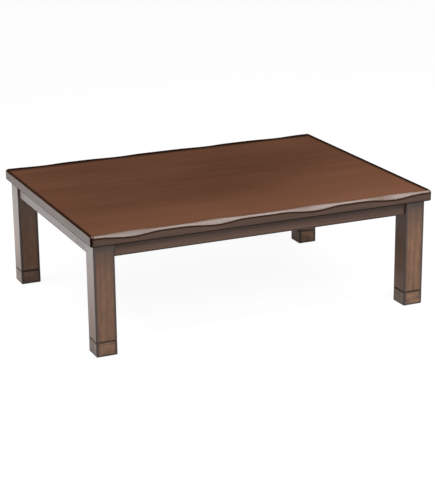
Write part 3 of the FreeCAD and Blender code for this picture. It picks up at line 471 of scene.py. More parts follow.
def in_joint(tree, parts, strength=JOINT_BARENESS):
    """The joint between a leg and its foot, which the varnish hardly reaches."""
    return band_at(tree, parts[2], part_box("leg_front_left")[0].z, JOINT_REACH, strength)


def leg_stain_and_shadow(tree, parts):
    """Stain along a leg's arrises and in the joint over its foot, and painted shadow of the board under its top.
    """
    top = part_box("leg_front_left")[1].z
    shaded = reckon(tree, "ADD", *(shade_under(tree, parts[2], top, *stain) for stain in LEG_TOP_SHADOWS))
    return darkest(tree, near_arris(tree, parts, "leg_front_left"), shaded, in_joint(tree, parts, 1.0))


def foot_stain(tree, parts):
    """Stain along a foot's arrises and in its joint, and darker round its base."""
    base = band_at(tree, parts[2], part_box("foot_front_left")[0].z, *BASE_DARKENING)
    return darkest(tree, near_arris(tree, parts, "foot_front_left"), in_joint(tree, parts, 1.0), base)


def apron_stain_and_shade(tree, parts, node, axis):
    """Stain along an apron's lower arris, painted shadow of the board at the frame's top, and painted shade at
    both ends, where the apron meets the legs.
    """
    low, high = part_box(node)
    lower = band_at(tree, parts[2], low.z, *APRON_EDGE_STAIN_AND_SHADE)
    # Painted shadow of the board under the frame's top
    upper = shade_under(tree, parts[2], high.z, *APRON_TOP_SHADOW)
    # Painted shade at both ends, where the apron meets the legs
    ends = band_at(tree, reckon(tree, "ABSOLUTE", parts[axis]), high[axis], *APRON_EDGE_STAIN_AND_SHADE)
    return darkest(tree, lower, upper, ends)


# Meshes

def add_object(name, mesh):
    made = bpy.data.objects.new(name, mesh)
    bpy.context.scene.collection.objects.link(made)
    return made


def smooth(mesh, degrees=28):
    """Smooth shading, with creases sharper than the angle kept."""
    mesh.shade_smooth()
    mesh.set_sharp_from_angle(angle=math.radians(degrees))


def paint(nodes, material):
    """Gives a finish to solids that are shown as they are."""
    for name in nodes:
        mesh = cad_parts[name].data
        mesh.materials.clear()
        mesh.materials.append(material)


def paint_plain(nodes, name, shade, **values):
    """Makes a plain finish and gives it to solids that are shown as they are."""
    paint(nodes, plain(name, shade, **values))


def settle(piece, body, slot, *nodes):
    """Makes a finished piece move with its body and stand for its solids."""
    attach(piece, body)
    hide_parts(*nodes)


def new_tree(name, sockets):
    """Geometry node tree with named inputs; returns it with its input node's outputs."""
    tree = bpy.data.node_groups.new(name, "GeometryNodeTree")
    tree.interface.new_socket(name="Geometry", in_out="OUTPUT", socket_type="NodeSocketGeometry")
    tree.interface.new_socket(name="Geometry", in_out="INPUT", socket_type="NodeSocketGeometry")
    for socket, kind in sockets.items():
        tree.interface.new_socket(name=socket, in_out="INPUT", socket_type="NodeSocket" + kind)
    return tree, tree.nodes.new("NodeGroupInput").outputs


def close_tree(tree, geometry, material, others=()):
    """Ends a tree: instances made real, the material set, and other ones on the faces chosen for them."""
    real = output_of(tree, "GeometryNodeRealizeInstances", {0: geometry})
    shown = output_of(tree, "GeometryNodeSetMaterial", {"Geometry": real, "Material": material})
    for chosen, other in others:
        values = {"Geometry": shown, "Selection": chosen, "Material": other}
        shown = output_of(tree, "GeometryNodeSetMaterial", values)
    output = tree.nodes.new("NodeGroupOutput")
    tree.links.new(shown, output.inputs[0])


def grow(name, mesh, tree, values):
    """Runs a tree on a mesh and keeps the result as a plain mesh."""
    source = add_object(name + "_source", mesh)
    modifier = source.modifiers.new("Nodes", "NODES")
    modifier.node_group = tree
    names = {item.name: item.identifier for item in tree.interface.items_tree if item.in_out == "INPUT"}
    for socket, value in values.items():
        modifier[names[socket]] = value
    graph = bpy.context.evaluated_depsgraph_get()
    result = bpy.data.meshes.new_from_object(source.evaluated_get(graph), depsgraph=graph)
    source.modifiers.clear()
    bpy.data.objects.remove(source)
    result.name = name
    return add_object(name, result)


# Carved board edges: faces over this share of stain and painted shade have the rim's finish, and level ones the
# veneer's

RIM_STAIN = 0.45
LEVEL_RISE = 0.9999
CORNER_STEPS = 12
EDGE_STEPS = 200
WALL_ROWS = (12 * MM, 5 * MM)  # under the upper arris, where the wall's stain changes
HOLD = 0.4 * MM  # flat strip beside a soft edge, which keeps the shading even
SHARPEST = 0.3 * MM  # radius left to the rows that lie deep inside a corner
# Stain on the wall round a corner, on the bevel, on the arris over the wall and high on the wall, and painted
# shade low on it
CORNER_STAIN = 0.95
SLOPE_STAIN = 0.6
SHOULDER_STAIN = 0.75
WALL_STAIN = 0.35
LOW_PAINTED_SHADE = 0.25


def rim_stations(sizes, side, low, high, seam_y):
    """Points round a long edge: place, way in to the corner's centre, way in past it, share of the edge's form."""
    radius = sizes.corner_radius
    reach_x = high.x - radius
    reach_y = max(abs(low.y), abs(high.y)) - radius
    ends = []
    for end in (-1, 1):
        inwards = Vector((-end, 0))
        stations = [(Vector((end * high.x, side * seam_y)), inwards, inwards, 0.0)]
        for step in range(CORNER_STEPS + 1):
            share = step / CORNER_STEPS
            turn = math.radians(90 * share)
            spoke = Vector((end * math.cos(turn), side * math.sin(turn)))
            place = Vector((end * reach_x, side * reach_y)) + spoke * radius
            stations.append((place, -spoke, Vector((-end, -side)), share))
        ends.append(stations)
    inwards = Vector((0, -side))
    middle = []
    for step in range(1, EDGE_STEPS):
        place = Vector((-reach_x + 2 * reach_x * step / EDGE_STEPS, side * (reach_y + radius)))
        middle.append((place, inwards, inwards, 1.0))
    return ends[0] + middle + ends[1][::-1]


def rim_profile(sizes, low, high, share):
    """Section of an edge: inset, height, whether a scoop moves it down or inwards, and how dark its stain and
    painted shade are.
    """
    eased = share * share * (3 - 2 * share)
    bevel = sizes.end_bevel + (sizes.bevel - sizes.end_bevel) * eased
    wall = CORNER_STAIN * math.sin(math.pi * share ** 0.6) ** 2
    slope = SLOPE_STAIN * (1 - share) ** 2
    shoulder = max(wall, SHOULDER_STAIN * eased)
    radius = sizes.arris_radius
    tangent = radius * math.tan(math.radians(22.5))
    under = sizes.underside_bevel
    corner = high.z - bevel
    # Painted shade: full on the underside bevel and strong low on the wall, where the board meets the frame
    points = [(under + HOLD, low.z, 0, 0, 1), (under, low.z, 0, 0, 1), (0, low.z + under, 0, 0, 1)]
    points.append((0, low.z + 2 * under, 0, 0, max(wall, LOW_PAINTED_SHADE + WALL_STAIN * eased)))
    shades = (max(wall, WALL_STAIN - LOW_PAINTED_SHADE * eased), max(wall, WALL_STAIN), shoulder)
    for gap, dark in zip((*WALL_ROWS, HOLD), shades):
        points.append((0, corner - tangent - gap, 1, 0, dark))
    for number, degrees in enumerate((180, 165, 150, 135)):
        turn = math.radians(degrees)
        inset = radius + radius * math.cos(turn)
        dark = shoulder + (slope - shoulder) * number / 3
        points.append((inset, corner - tangent + radius * math.sin(turn), 1, 0, dark))
    for degrees in (135, 120, 105, 90):
        turn = math.radians(degrees)
        inset = bevel + tangent + radius * math.cos(turn)
        points.append((inset, high.z - radius + radius * math.sin(turn), 0, 1, slope))
    inner = bevel + tangent + HOLD
    points.append((inner, high.z, 0, 1, slope))
    points.append((inner + HOLD, high.z, 0, 1, 0))
    return points


def rim_columns(body, sizes, low, high, stations):
    """Points of the edge's sections in a mesh that is being made, with strips between them."""
    marks = [body.verts.layers.float.new(name) for name in ("down", "inward", "stain")]
    columns = []
    for place, way_in, way_on, share in stations:
        column = []
        for inset, z, *values in rim_profile(sizes, low, high, share):
            turning = min(inset, sizes.corner_radius - SHARPEST)
            spot = place + way_in * turning + way_on * (inset - turning)
            vertex = body.verts.new((spot.x, spot.y, z))
            for mark, value in zip(marks, values):
                vertex[mark] = value
            column.append(vertex)
        columns.append(column)
    for left, right in zip(columns, columns[1:]):
        for row in range(len(left) - 1):
            body.faces.new((left[row], right[row], right[row + 1], left[row + 1]))
    return columns


def finish_mesh(body, name):
    """Turns a mesh that is being made into a finished one, its faces outwards."""
    bmesh.ops.recalc_face_normals(body, faces=body.faces)
    mesh = bpy.data.meshes.new(name)
    body.to_mesh(mesh)
    body.free()
    return mesh


def long_blank(sizes, side, low, high):
    """Closed body of one long edge with its plain bevel, marked with what the scoops move."""
    seam_y = min(abs(low.y), abs(high.y))
    body = bmesh.new()
    columns = rim_columns(body, sizes, low, high, rim_stations(sizes, side, low, high, seam_y))
    body.faces.new([column[-1] for column in columns])
    body.faces.new([column[0] for column in reversed(columns)])
    body.faces.new(columns[0] + columns[-1][::-1])
    return finish_mesh(body, "long_blank")


def short_blank(sizes, side, low, high):
    """Closed body of one short edge, straight between the long ones."""
    outer = side * max(abs(low.x), abs(high.x))
    inner = side * min(abs(low.x), abs(high.x))
    inwards = Vector((-side, 0))
    stations = [(Vector((outer, y)), inwards, inwards, 0.0) for y in (low.y, high.y)]
    body = bmesh.new()
    columns = rim_columns(body, sizes, low, high, stations)
    back = [[body.verts.new((inner, y, z)) for z in (high.z, low.z)] for y in (low.y, high.y)]
    front_back, rear_back = back
    front, rear = columns
    body.faces.new((front[-1], rear[-1], rear_back[0], front_back[0]))
    body.faces.new((front_back[0], rear_back[0], rear_back[1], front_back[1]))
    body.faces.new((front_back[1], rear_back[1], rear[0], front[0]))
    body.faces.new(front + front_back)
    body.faces.new(rear + rear_back)
    return finish_mesh(body, "short_blank")


def scoop_tree():
    """Moves the bevel of an edge in and down by the sum of four smooth scoops."""
    places = [f"Scoop {number}" for number in (1, 2, 3, 4)]
    sockets = {"Depth": "Float", "Left run": "Float", "Right run": "Float", "Inward": "Float"}
    sockets.update({place: "Float" for place in places})
    sockets.update({finish: "Material" for finish in ("Wood", "End", "Rim", "Veneer")})
    tree, given = new_tree("Scooped edge", sockets)
    position = output_of(tree, "GeometryNodeInputPosition")
    x = output_of(tree, "ShaderNodeSeparateXYZ", {0: position})
    total = None
    for place in places:
        offset = reckon(tree, "SUBTRACT", x, given[place])
        on_right = reckon(tree, "GREATER_THAN", offset, 0.0)
        wider = reckon(tree, "SUBTRACT", given["Right run"], given["Left run"])
        run = reckon(tree, "MULTIPLY_ADD", on_right, wider, given["Left run"])
        share = reckon(tree, "MINIMUM", reckon(tree, "DIVIDE", reckon(tree, "ABSOLUTE", offset), run), 1.0)
        swing = reckon(tree, "COSINE", reckon(tree, "MULTIPLY", share, math.pi))
        bump = reckon(tree, "MULTIPLY_ADD", swing, 0.5, 0.5)
        total = bump if total is None else reckon(tree, "ADD", total, bump)
    travel = reckon(tree, "MULTIPLY", reckon(tree, "MULTIPLY", total, given["Depth"]), math.sqrt(2))
    marks = {}
    for name in ("down", "inward"):
        marks[name] = reckon(tree, "MULTIPLY", marked(tree, name), travel)
    shift_y = reckon(tree, "MULTIPLY", marks["inward"], given["Inward"])
    shift_z = reckon(tree, "MULTIPLY", marks["down"], -1.0)
    moved = output_of(tree, "ShaderNodeCombineXYZ", {1: shift_y, 2: shift_z})
    carved = add_node(tree, "GeometryNodeSetPosition", {"Geometry": given["Geometry"], "Offset": moved})
    stained = reckon(tree, "GREATER_THAN", marked(tree, "stain"), RIM_STAIN)
    normal = output_of(tree, "GeometryNodeInputNormal")
    facing = add_node(tree, "ShaderNodeSeparateXYZ", {0: normal}).outputs
    sideways = reckon(tree, "GREATER_THAN", reckon(tree, "ABSOLUTE", facing[0]), math.sqrt(0.5))
    level = reckon(tree, "GREATER_THAN", facing[2], LEVEL_RISE)
    others = [(sideways, given["End"]), (stained, given["Rim"]), (level, given["Veneer"])]
    close_tree(tree, carved.outputs[0], given["Wood"], others)
    return tree


def carve_edge(name, side, tree, finishes):
    """One carved long edge in place of its solid."""
    sizes = bpy.context.scene.table_sizes
    low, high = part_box(name)
    values = {"Depth": sizes.scoop_depth, "Left run": sizes.scoop_left, "Right run": sizes.scoop_right,
              "Inward": float(-side)}
    values.update(zip(("Wood", "End", "Rim", "Veneer"), finishes))
    for number, share in enumerate(sizes.scoop_shares, 1):
        values[f"Scoop {number}"] = low.x + share * (high.x - low.x)
    piece = grow("carved_" + name, long_blank(sizes, side, low, high), tree, values)
    smooth(piece.data)
    settle(piece, "board", "walnut_edge", name)


def plane_edge(name, side, finishes):
    """One straight short edge in place of its solid, its top faces veneered."""
    sizes = bpy.context.scene.table_sizes
    mesh = short_blank(sizes, side, *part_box(name))
    for finish in finishes:
        mesh.materials.append(finish)
    marks = mesh.attributes["stain"].data
    for face in mesh.polygons:
        stain = sum(marks[corner].value for corner in face.vertices) / len(face.vertices)
        if face.normal.z > LEVEL_RISE:
            face.material_index = 2
        elif stain > RIM_STAIN:
            face.material_index = 1
    smooth(mesh)
    settle(add_object("planed_" + name, mesh), "board", "walnut_edge", name)


# Heating coils

def coil_tree():
    """Wire wound along X, once for each tube."""
    sockets = {"Length": "Float", "Turns": "Float", "Coil radius": "Float", "Wire radius": "Float",
               "Wire": "Material"}
    tree, given = new_tree("Heating coil", sockets)
    values = {"Resolution": 12, "Rotations": given["Turns"], "Start Radius": given["Coil radius"],
              "End Radius": given["Coil radius"], "Height": given["Length"]}
    spiral = output_of(tree, "GeometryNodeCurveSpiral", values)
    ring = add_node(tree, "GeometryNodeCurvePrimitiveCircle", {"Resolution": 5, "Radius": given["Wire radius"]})
    wire = add_node(
        tree, "GeometryNodeCurveToMesh", {"Curve": spiral, "Profile Curve": ring.outputs[0], "Fill Caps": True})
    half = reckon(tree, "MULTIPLY", given["Length"], -0.5)
    start = output_of(tree, "ShaderNodeCombineXYZ", {0: half})
    turned = add_node(
        tree, "GeometryNodeTransform",
        {"Geometry": wire.outputs[0], "Translation": start, "Rotation": (0, math.pi / 2, 0)})
    wound = add_node(
        tree, "GeometryNodeInstanceOnPoints", {"Points": given["Geometry"], "Instance": turned.outputs[0]})
    close_tree(tree, wound.outputs[0], given["Wire"])
    return tree


def wind_coils(material):
    sizes = bpy.context.scene.table_sizes
    low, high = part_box("heating_coils")
    radius = (high.z - low.z) / 2
    middle = (low + high) / 2
    places = [(middle.x, y, middle.z) for y in (low.y + radius, high.y - radius)]
    points = bpy.data.meshes.new("coil_places")
    points.from_pydata(places, [], [])
    run = high.x - low.x
    values = {"Length": run, "Turns": run / sizes.coil_pitch, "Coil radius": radius - sizes.coil_wire,
              "Wire radius": sizes.coil_wire, "Wire": material}
    piece = grow("wound_coils", points, coil_tree(), values)
    piece.data.shade_smooth()
    settle(piece, "frame", "coil_wire", "heating_coils")


# Screws: shares of the head's radius and height, and of the shank's radius and length

HEAD_TOP = 0.74
RECESS_LENGTH = 1.04
RECESS_WIDTH = 0.2
RECESS_PLACES = (-1.1, -1.13)  # they differ a little, so that no faces of the two cuts lie in one plane
CORE_RADIUS = 0.8
WIRE_RADIUS = 0.16
THREAD_STEP = 0.75
THREAD_RUN = 0.96


def solids_of(node):
    """Corner points of each separate solid of a node."""
    body = bmesh.new()
    body.from_mesh(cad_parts[node].data)
    bmesh.ops.remove_doubles(body, verts=body.verts, dist=1e-6)
    left = dict.fromkeys(body.verts)
    groups = []
    while left:
        reached = [left.popitem()[0]]
        for vertex in reached:
            for edge in vertex.link_edges:
                other = edge.other_vert(vertex)
                if other in left:
                    del left[other]
                    reached.append(other)
        groups.append([vertex.co.copy() for vertex in reached])
    body.free()
    return groups


def measure_screw(points):
    """Seat under the head, direction of the shank, its length and radius, and the head's radius and height."""
    low = Vector(map(min, zip(*points)))
    high = Vector(map(max, zip(*points)))
    span = high - low
    axis = max(range(3), key=lambda number: span[number])
    middle = (low + high) / 2

    def reach(point):
        away = point - middle
        away[axis] = 0
        return away.length

    head_radius = max(map(reach, points))
    head = [point[axis] for point in points if reach(point) > 0.8 * head_radius]
    shank_radius = max(reach(point) for point in points if not min(head) - 1e-5 < point[axis] < max(head) + 1e-5)
    towards = 1.0 if min(head) - low[axis] < high[axis] - max(head) else -1.0
    seat = middle.copy()
    seat[axis] = max(head) if towards > 0 else min(head)
    direction = Vector((0, 0, 0))
    direction[axis] = towards
    height = max(head) - min(head)
    return seat, direction, span[axis] - height, shank_radius, head_radius, height


def screw_tree():
    """Pan head with a crossed recess, on a shank with a raised thread, at each point."""
    sockets = {"Head radius": "Float", "Head height": "Float", "Shank radius": "Float", "Length": "Float",
               "Steel": "Material"}
    tree, given = new_tree("Pan head screw", sockets)

    def lifted(geometry, z):
        up = output_of(tree, "ShaderNodeCombineXYZ", {2: z})
        return output_of(tree, "GeometryNodeTransform", {"Geometry": geometry, "Translation": up})

    def share(socket, factor):
        return reckon(tree, "MULTIPLY", given[socket], factor)

    dome = output_of(
        tree, "GeometryNodeMeshCone",
        {"Vertices": 24, "Radius Top": given["Head radius"], "Depth": given["Head height"],
         "Radius Bottom": share("Head radius", HEAD_TOP)})
    head = lifted(dome, share("Head height", -1.0))
    arm = share("Head radius", RECESS_LENGTH)
    blade = share("Head radius", RECESS_WIDTH)
    cuts = []
    for across, wide, place in zip((arm, blade), (blade, arm), RECESS_PLACES):
        shape = output_of(tree, "ShaderNodeCombineXYZ", {0: across, 1: wide, 2: given["Head height"]})
        cube = output_of(tree, "GeometryNodeMeshCube", {"Size": shape})
        cuts.append(lifted(cube, share("Head height", place)))
    recessed = add_node(tree, "GeometryNodeMeshBoolean", {"Mesh 1": head}, operation="DIFFERENCE")
    for cut in cuts:
        tree.links.new(cut, recessed.inputs["Mesh 2"])
    core = output_of(
        tree, "GeometryNodeMeshCylinder",
        {"Vertices": 12, "Depth": given["Length"], "Radius": share("Shank radius", CORE_RADIUS)})
    core = lifted(core, share("Length", 0.5))
    wind = share("Shank radius", 1 - WIRE_RADIUS)
    spiral = output_of(
        tree, "GeometryNodeCurveSpiral",
        {"Resolution": 10, "Start Radius": wind, "End Radius": wind, "Height": share("Length", THREAD_RUN),
         "Rotations": reckon(tree, "DIVIDE", given["Length"], share("Shank radius", THREAD_STEP))})
    ring = output_of(
        tree, "GeometryNodeCurvePrimitiveCircle",
        {"Resolution": 4, "Radius": share("Shank radius", WIRE_RADIUS)})
    thread = output_of(
        tree, "GeometryNodeCurveToMesh",
        {"Curve": spiral, "Profile Curve": ring, "Fill Caps": True})
    whole = tree.nodes.new("GeometryNodeJoinGeometry")
    for part in (thread, core, recessed.outputs[0]):
        tree.links.new(part, whole.inputs[0])
    rotation = output_of(tree, "FunctionNodeEulerToRotation", {0: marked(tree, "turn", "FLOAT_VECTOR")})
    placed = add_node(
        tree, "GeometryNodeInstanceOnPoints",
        {"Points": given["Geometry"], "Instance": whole.outputs[0], "Rotation": rotation})
    close_tree(tree, placed.outputs[0], given["Steel"])
    return tree


def turn_screws(node, tree, material):
    """Detailed screws in place of a node's plain ones."""
    measured = [measure_screw(points) for points in solids_of(node)]
    points = bpy.data.meshes.new(node + "_places")
    points.from_pydata([seat for seat, *rest in measured], [], [])
    turns = points.attributes.new("turn", "FLOAT_VECTOR", "POINT")
    for number, (seat, direction, *rest) in enumerate(measured):
        turned = Vector((0, 0, 1)).rotation_difference(direction)
        spun = turned @ Matrix.Rotation(0.7 * number, 3, "Z").to_quaternion()
        turns.data[number].vector = spun.to_euler()
    values = dict(zip(("Length", "Shank radius", "Head radius", "Head height"), measured[0][2:]), Steel=material)
    piece = grow("turned_" + node, points, tree, values)
    smooth(piece.data, 35)
    settle(piece, "frame", "screw_steel", node)


# Felt pads

FELT_CORNER = 4 * MM
FELT_SOFTNESS = 0.5 * MM
FELT_STEPS = 18
FELT_RIM = 0.94  # share of the half width past which the pad grows thinner
RUFFLE = 0.12 * MM
RUFFLE_SCALE = 900


def cut_felt(node, body, material):
    """Felt pad with soft, slightly uneven edges in place of a plain one."""
    low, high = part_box(node)
    middle = (low + high) / 2
    size = high - low
    sheet = bmesh.new()
    bmesh.ops.create_grid(sheet, x_segments=FELT_STEPS, y_segments=FELT_STEPS, size=0.5)
    upper = bmesh.ops.duplicate(sheet, geom=sheet.verts[:] + sheet.edges[:] + sheet.faces[:])["geom"]
    for vertex in sheet.verts:
        vertex.co.z = -0.5
    for vertex in (item for item in upper if isinstance(item, bmesh.types.BMVert)):
        vertex.co.z = 0.5
    rims = [edge for edge in sheet.edges if edge.is_boundary]
    bmesh.ops.bridge_loops(sheet, edges=rims)
    for vertex in sheet.verts:
        reach = Vector((size.x / 2 - FELT_CORNER, size.y / 2 - FELT_CORNER))
        flat = Vector((vertex.co.x * size.x, vertex.co.y * size.y))
        held = Vector((max(-reach.x, min(reach.x, flat.x)), max(-reach.y, min(reach.y, flat.y))))
        away = flat - held
        if away.length > FELT_CORNER:
            away = away.normalized() * FELT_CORNER
        inset = FELT_SOFTNESS if (held + away - flat).length > 0 or vertex.is_boundary else 0.0
        spot = held + away * (1 - inset / FELT_CORNER)
        ruffle = RUFFLE * noise.noise(Vector((spot.x, spot.y, vertex.co.z)) * RUFFLE_SCALE)
        edge_share = max(abs(spot.x) / (size.x / 2), abs(spot.y) / (size.y / 2))
        drawn_in = FELT_SOFTNESS * max(0.0, edge_share - FELT_RIM) / (1 - FELT_RIM)
        height = vertex.co.z * (size.z - 2 * drawn_in) + (ruffle if vertex.co.z < 0 else -abs(ruffle))
        height = max(-size.z / 2, min(size.z / 2, height))
        vertex.co = middle + Vector((spot.x, spot.y, height))
    bmesh.ops.recalc_face_normals(sheet, faces=sheet.faces)
    mesh = bpy.data.meshes.new("felt_" + node)
    sheet.to_mesh(mesh)
    sheet.free()
    mesh.materials.append(material)
    smooth(mesh, 40)
    settle(add_object("felt_" + node, mesh), body, "felt", node)


# Stage: the floor's two greys for bounced light, then its grey and its glow in a mirror and for the camera

FLOOR_BOUNCE = (0.29, 0.31)
FLOOR_SEEN = (0.85, 0.14)
FLOOR_GLOW = (0.05, 0.935)
# Lamps: place, point aimed at, width, height and spread in degrees
LAMPS = {
    "overhead": ((1.15, -1.36, 3.0), (1.15, 0, 0.2), 2.4, 0.5, 180),
    "side": ((-1.6, 0.9, 1.7), (-1.6, 0.9, 0), 0.6, 2.2, 90),
    "front": ((0.2, -3.0, 2.6), (0, 0, 0.2), 1.8, 1.4, 180),
}


def seen_by(tree):
    """1 for rays from the camera, a mirror or a glass, otherwise 0."""
    path = tree.nodes.new("ShaderNodeLightPath").outputs
    seen = reckon(tree, "MAXIMUM", path["Is Camera Ray"], path["Is Glossy Ray"])
    return reckon(tree, "MAXIMUM", seen, path["Is Transmission Ray"])


def lay_floor(stage):
    side = stage.floor_side / 2
    corners = [(-side, -side, 0), (side, -side, 0), (side, side, 0), (-side, side, 0)]
    mesh = bpy.data.meshes.new("studio_floor")
    mesh.from_pydata(corners, [], [(0, 1, 2, 3)])
    floor = add_object("studio_floor", mesh)
    material = bpy.data.materials.new("studio_floor")
    tree = empty_tree(material)
    place = tree.nodes.new("ShaderNodeTexCoord").outputs["Object"]
    cloud = speckle(tree, place, 3.0)
    bounce = blend(tree, cloud, *((level,) * 3 for level in FLOOR_BOUNCE))
    direct = tree.nodes.new("ShaderNodeLightPath").outputs["Is Camera Ray"]
    pale = blend(tree, direct, *((level,) * 3 for level in FLOOR_SEEN))
    unseen = output_of(tree, "ShaderNodeBsdfDiffuse", {"Color": bounce})
    shaded = output_of(tree, "ShaderNodeBsdfDiffuse", {"Color": pale})
    strength = remap(tree, direct, 0.0, 1.0, *FLOOR_GLOW)
    glow = output_of(tree, "ShaderNodeEmission", {"Color": (1, 1, 1, 1), "Strength": strength})
    seen = output_of(tree, "ShaderNodeAddShader", {0: shaded, 1: glow})
    mixed = output_of(tree, "ShaderNodeMixShader", {0: seen_by(tree), 1: unseen, 2: seen})
    output = tree.nodes.new("ShaderNodeOutputMaterial")
    tree.links.new(mixed, output.inputs["Surface"])
    mesh.materials.append(material)


def set_world(stage):
    world = bpy.data.worlds.new("studio")
    tree = empty_tree(world)
    strength = remap(tree, seen_by(tree), 0.0, 1.0, stage.ambient, 1.0)
    values = {"Color": (1, 1, 1, 1), "Strength": strength}
    background = add_node(tree, "ShaderNodeBackground", values)
    output = tree.nodes.new("ShaderNodeOutputWorld")
    tree.links.new(background.outputs[0], output.inputs["Surface"])
    bpy.context.scene.world = world


def hang_lamp(name, power, place, aim, width, height, spread):
    """Soft rectangular lamp, aimed at a point, with its width level."""
    lamp = bpy.data.lights.new(name, "AREA")
    lamp.shape = "RECTANGLE"
    lamp.size = width
    lamp.size_y = height
    lamp.energy = power
    lamp.spread = math.radians(spread)
    holder = add_object(name, lamp)
    holder.location = place
    holder.rotation_euler = (Vector(aim) - Vector(place)).to_track_quat("-Z", "Y").to_euler()


def place_camera(stage):
    yaw = stage.camera_yaw
    pitch = stage.camera_pitch
    back = Vector((-math.sin(yaw) * math.cos(pitch), -math.cos(yaw) * math.cos(pitch), math.sin(pitch)))
    right = (-back).cross(Vector((0, 0, 1))).normalized()
    up = right.cross(-back)
    level = Matrix((right, up, back)).transposed()
    rolled = level @ Matrix.Rotation(stage.camera_roll, 3, "Z")
    camera = bpy.data.cameras.new("camera")
    camera.lens = stage.lens
    camera.clip_end = 100
    holder = add_object("camera", camera)
    holder.location = stage.camera_place
    holder.rotation_euler = rolled.to_euler()
    bpy.context.scene.camera = holder


# Operators

class TABLE_OT_finish_board(bpy.types.Operator):
    """Makes the board's four edges, the long ones with their scoops, and finishes its panels"""
    bl_idname = "table.finish_board"
    bl_label = "Finish the board"

    def execute(self, context):
        tints = context.scene.table_colours
        # The marked layer paints stain, and painted shade under the board's edges.
        stain = ((marked_stain_and_shade, tints.stain),)
        # The top's pale layer is partly paler wood, partly painted light on its front and right.
        veneer = wood("top_veneer", tints.top_light, tints.top_dark, "X", gloss=0.0, roughness=0.5, figure=0.5,
                      weights=(0.08, 0.4, 0.5), blotch=(2, 2.6, 0.9), blotch_shift=(2.7, 0.0, 0.0),
                      layers=((pale_wood_and_painted_light, tints.top_pale), (board_stain_and_shade, tints.stain)))
        edge = (tints.edge_light, tints.edge_dark)
        # Painted light: the short edges take a lighter copy of the long edges' wood, standing in for the pale
        # sheen on the board's ends.
        end = tuple(toned(shade, 1.35) for shade in edge)
        along = wood("long_edge", *edge, "X", gloss=0.5, roughness=0.3, relief=0.05, layers=stain)
        across = wood("short_edge", *end, "Y", gloss=0.3, roughness=0.4, coat=0.3, relief=0.1, layers=stain)
        rim = wood("rim", *edge, "X", gloss=0.0, roughness=0.6, layers=stain)
        tree = scoop_tree()
        carve_edge("edge_front", -1, tree, (along, across, rim, veneer))
        carve_edge("edge_rear", 1, tree, (along, across, rim, veneer))
        plane_edge("edge_left", -1, (across, rim, veneer))
        plane_edge("edge_right", 1, (across, rim, veneer))
        paint(["top_veneer"], veneer)
        paint(["core_panel"], chipboard("pressed_core", tints.rail_light, tints.rail_dark))
        paint_plain(["backing_veneer"], "backing_sheet", tints.backing, roughness=0.7, gloss=0.2, mottle=0.08,
                    mottle_scale=14.0, grit_scale=500.0)
        return {"FINISHED"}


class TABLE_OT_finish_frame(bpy.types.Operator):
    """Finishes the aprons, legs, rails, dowels and grip pads"""
    bl_idname = "table.finish_frame"
    bl_label = "Finish the frame"

    def execute(self, context):
        tints = context.scene.table_colours
        apron = (tints.apron_light, tints.apron_dark)

        # The aprons' layers paint stain, and shade under the board and beside the legs.
        def long_apron_stain_and_shade(tree, parts):
            return apron_stain_and_shade(tree, parts, "apron_front", 0)

        def short_apron_stain_and_shade(tree, parts):
            return apron_stain_and_shade(tree, parts, "apron_left", 1)

        long_apron = wood("long_apron", *apron, "X", gloss=0.5, layers=((long_apron_stain_and_shade, tints.stain),))
        paint(["apron_front", "apron_rear"], long_apron)
        short_apron = wood("short_apron", *apron, "Y", gloss=0.5, roughness=0.35, coat=0.5, relief=0.1,
                           layers=((short_apron_stain_and_shade, tints.stain),))
        paint(["apron_left", "apron_right"], short_apron)
        # The leg's layer also paints the board's shadow on the leg tops.
        leg = wood("leg", tints.leg_light, tints.leg_dark, "Z", gloss=0.5, roughness=0.38, figure=1.2, coat=1.0,
                   relief=0.1, blotch=(25, 70, 0.5), layers=((leg_stain_and_shadow, tints.warm_stain_and_shade),), bare=in_joint)
        paint(["leg_" + corner for corner in CORNERS], leg)
        rail = (tints.rail_light, tints.rail_dark)
        rail_x = wood("bare_rail_x", *rail, "X", gloss=0.2, roughness=0.7)
        rail_y = wood("bare_rail_y", *rail, "Y", gloss=0.2, roughness=0.7)
        paint(["heater_rail_front", "heater_rail_rear", "tie_rail_left", "tie_rail_right"], rail_x)
        paint(["heater_rail_left", "heater_rail_right"], rail_y)
        dowel = wood("dowel", toned(tints.rail_light, 1.1), toned(tints.rail_dark, 1.2), "X", 0.2, 0.7)
        paint(["rail_dowels"], dowel)
        paint_plain(["grip_pads"], "grip_rubber", (0.035, 0.032, 0.03), roughness=0.8, gloss=0.3, grit=0.4)
        return {"FINISHED"}


class TABLE_OT_finish_feet(bpy.types.Operator):
    """Finishes the extension feet, their studs and inserts, and makes their felt pads"""
    bl_idname = "table.finish_feet"
    bl_label = "Finish the feet"

    def execute(self, context):
        tints = context.scene.table_colours
        sizes = context.scene.table_sizes
        block = wood("foot", tints.foot_light, tints.foot_dark, "X", gloss=0.4, roughness=0.38, figure=1.2,
                     coat=1.0, relief=0.1, blotch=(45, 60, 0.8), layers=((foot_stain, tints.warm_stain_and_shade),),
                     bare=in_joint)
        paint(["foot_" + corner for corner in CORNERS], block)
        stud = threaded("threaded_stud", tints.zinc, sizes.thread_pitch)
        paint(["foot_stud_" + corner for corner in CORNERS], stud)
        paint_plain(["leg_inserts"], "turned_brass", (0.72, 0.50, 0.22), roughness=0.35, metal=1.0, mottle=0.1)
        pressed = felt("floor_felt", (0.045, 0.034, 0.027))
        for corner in CORNERS:
            cut_felt("foot_pad_" + corner, "extension_" + corner, pressed)
        return {"FINISHED"}


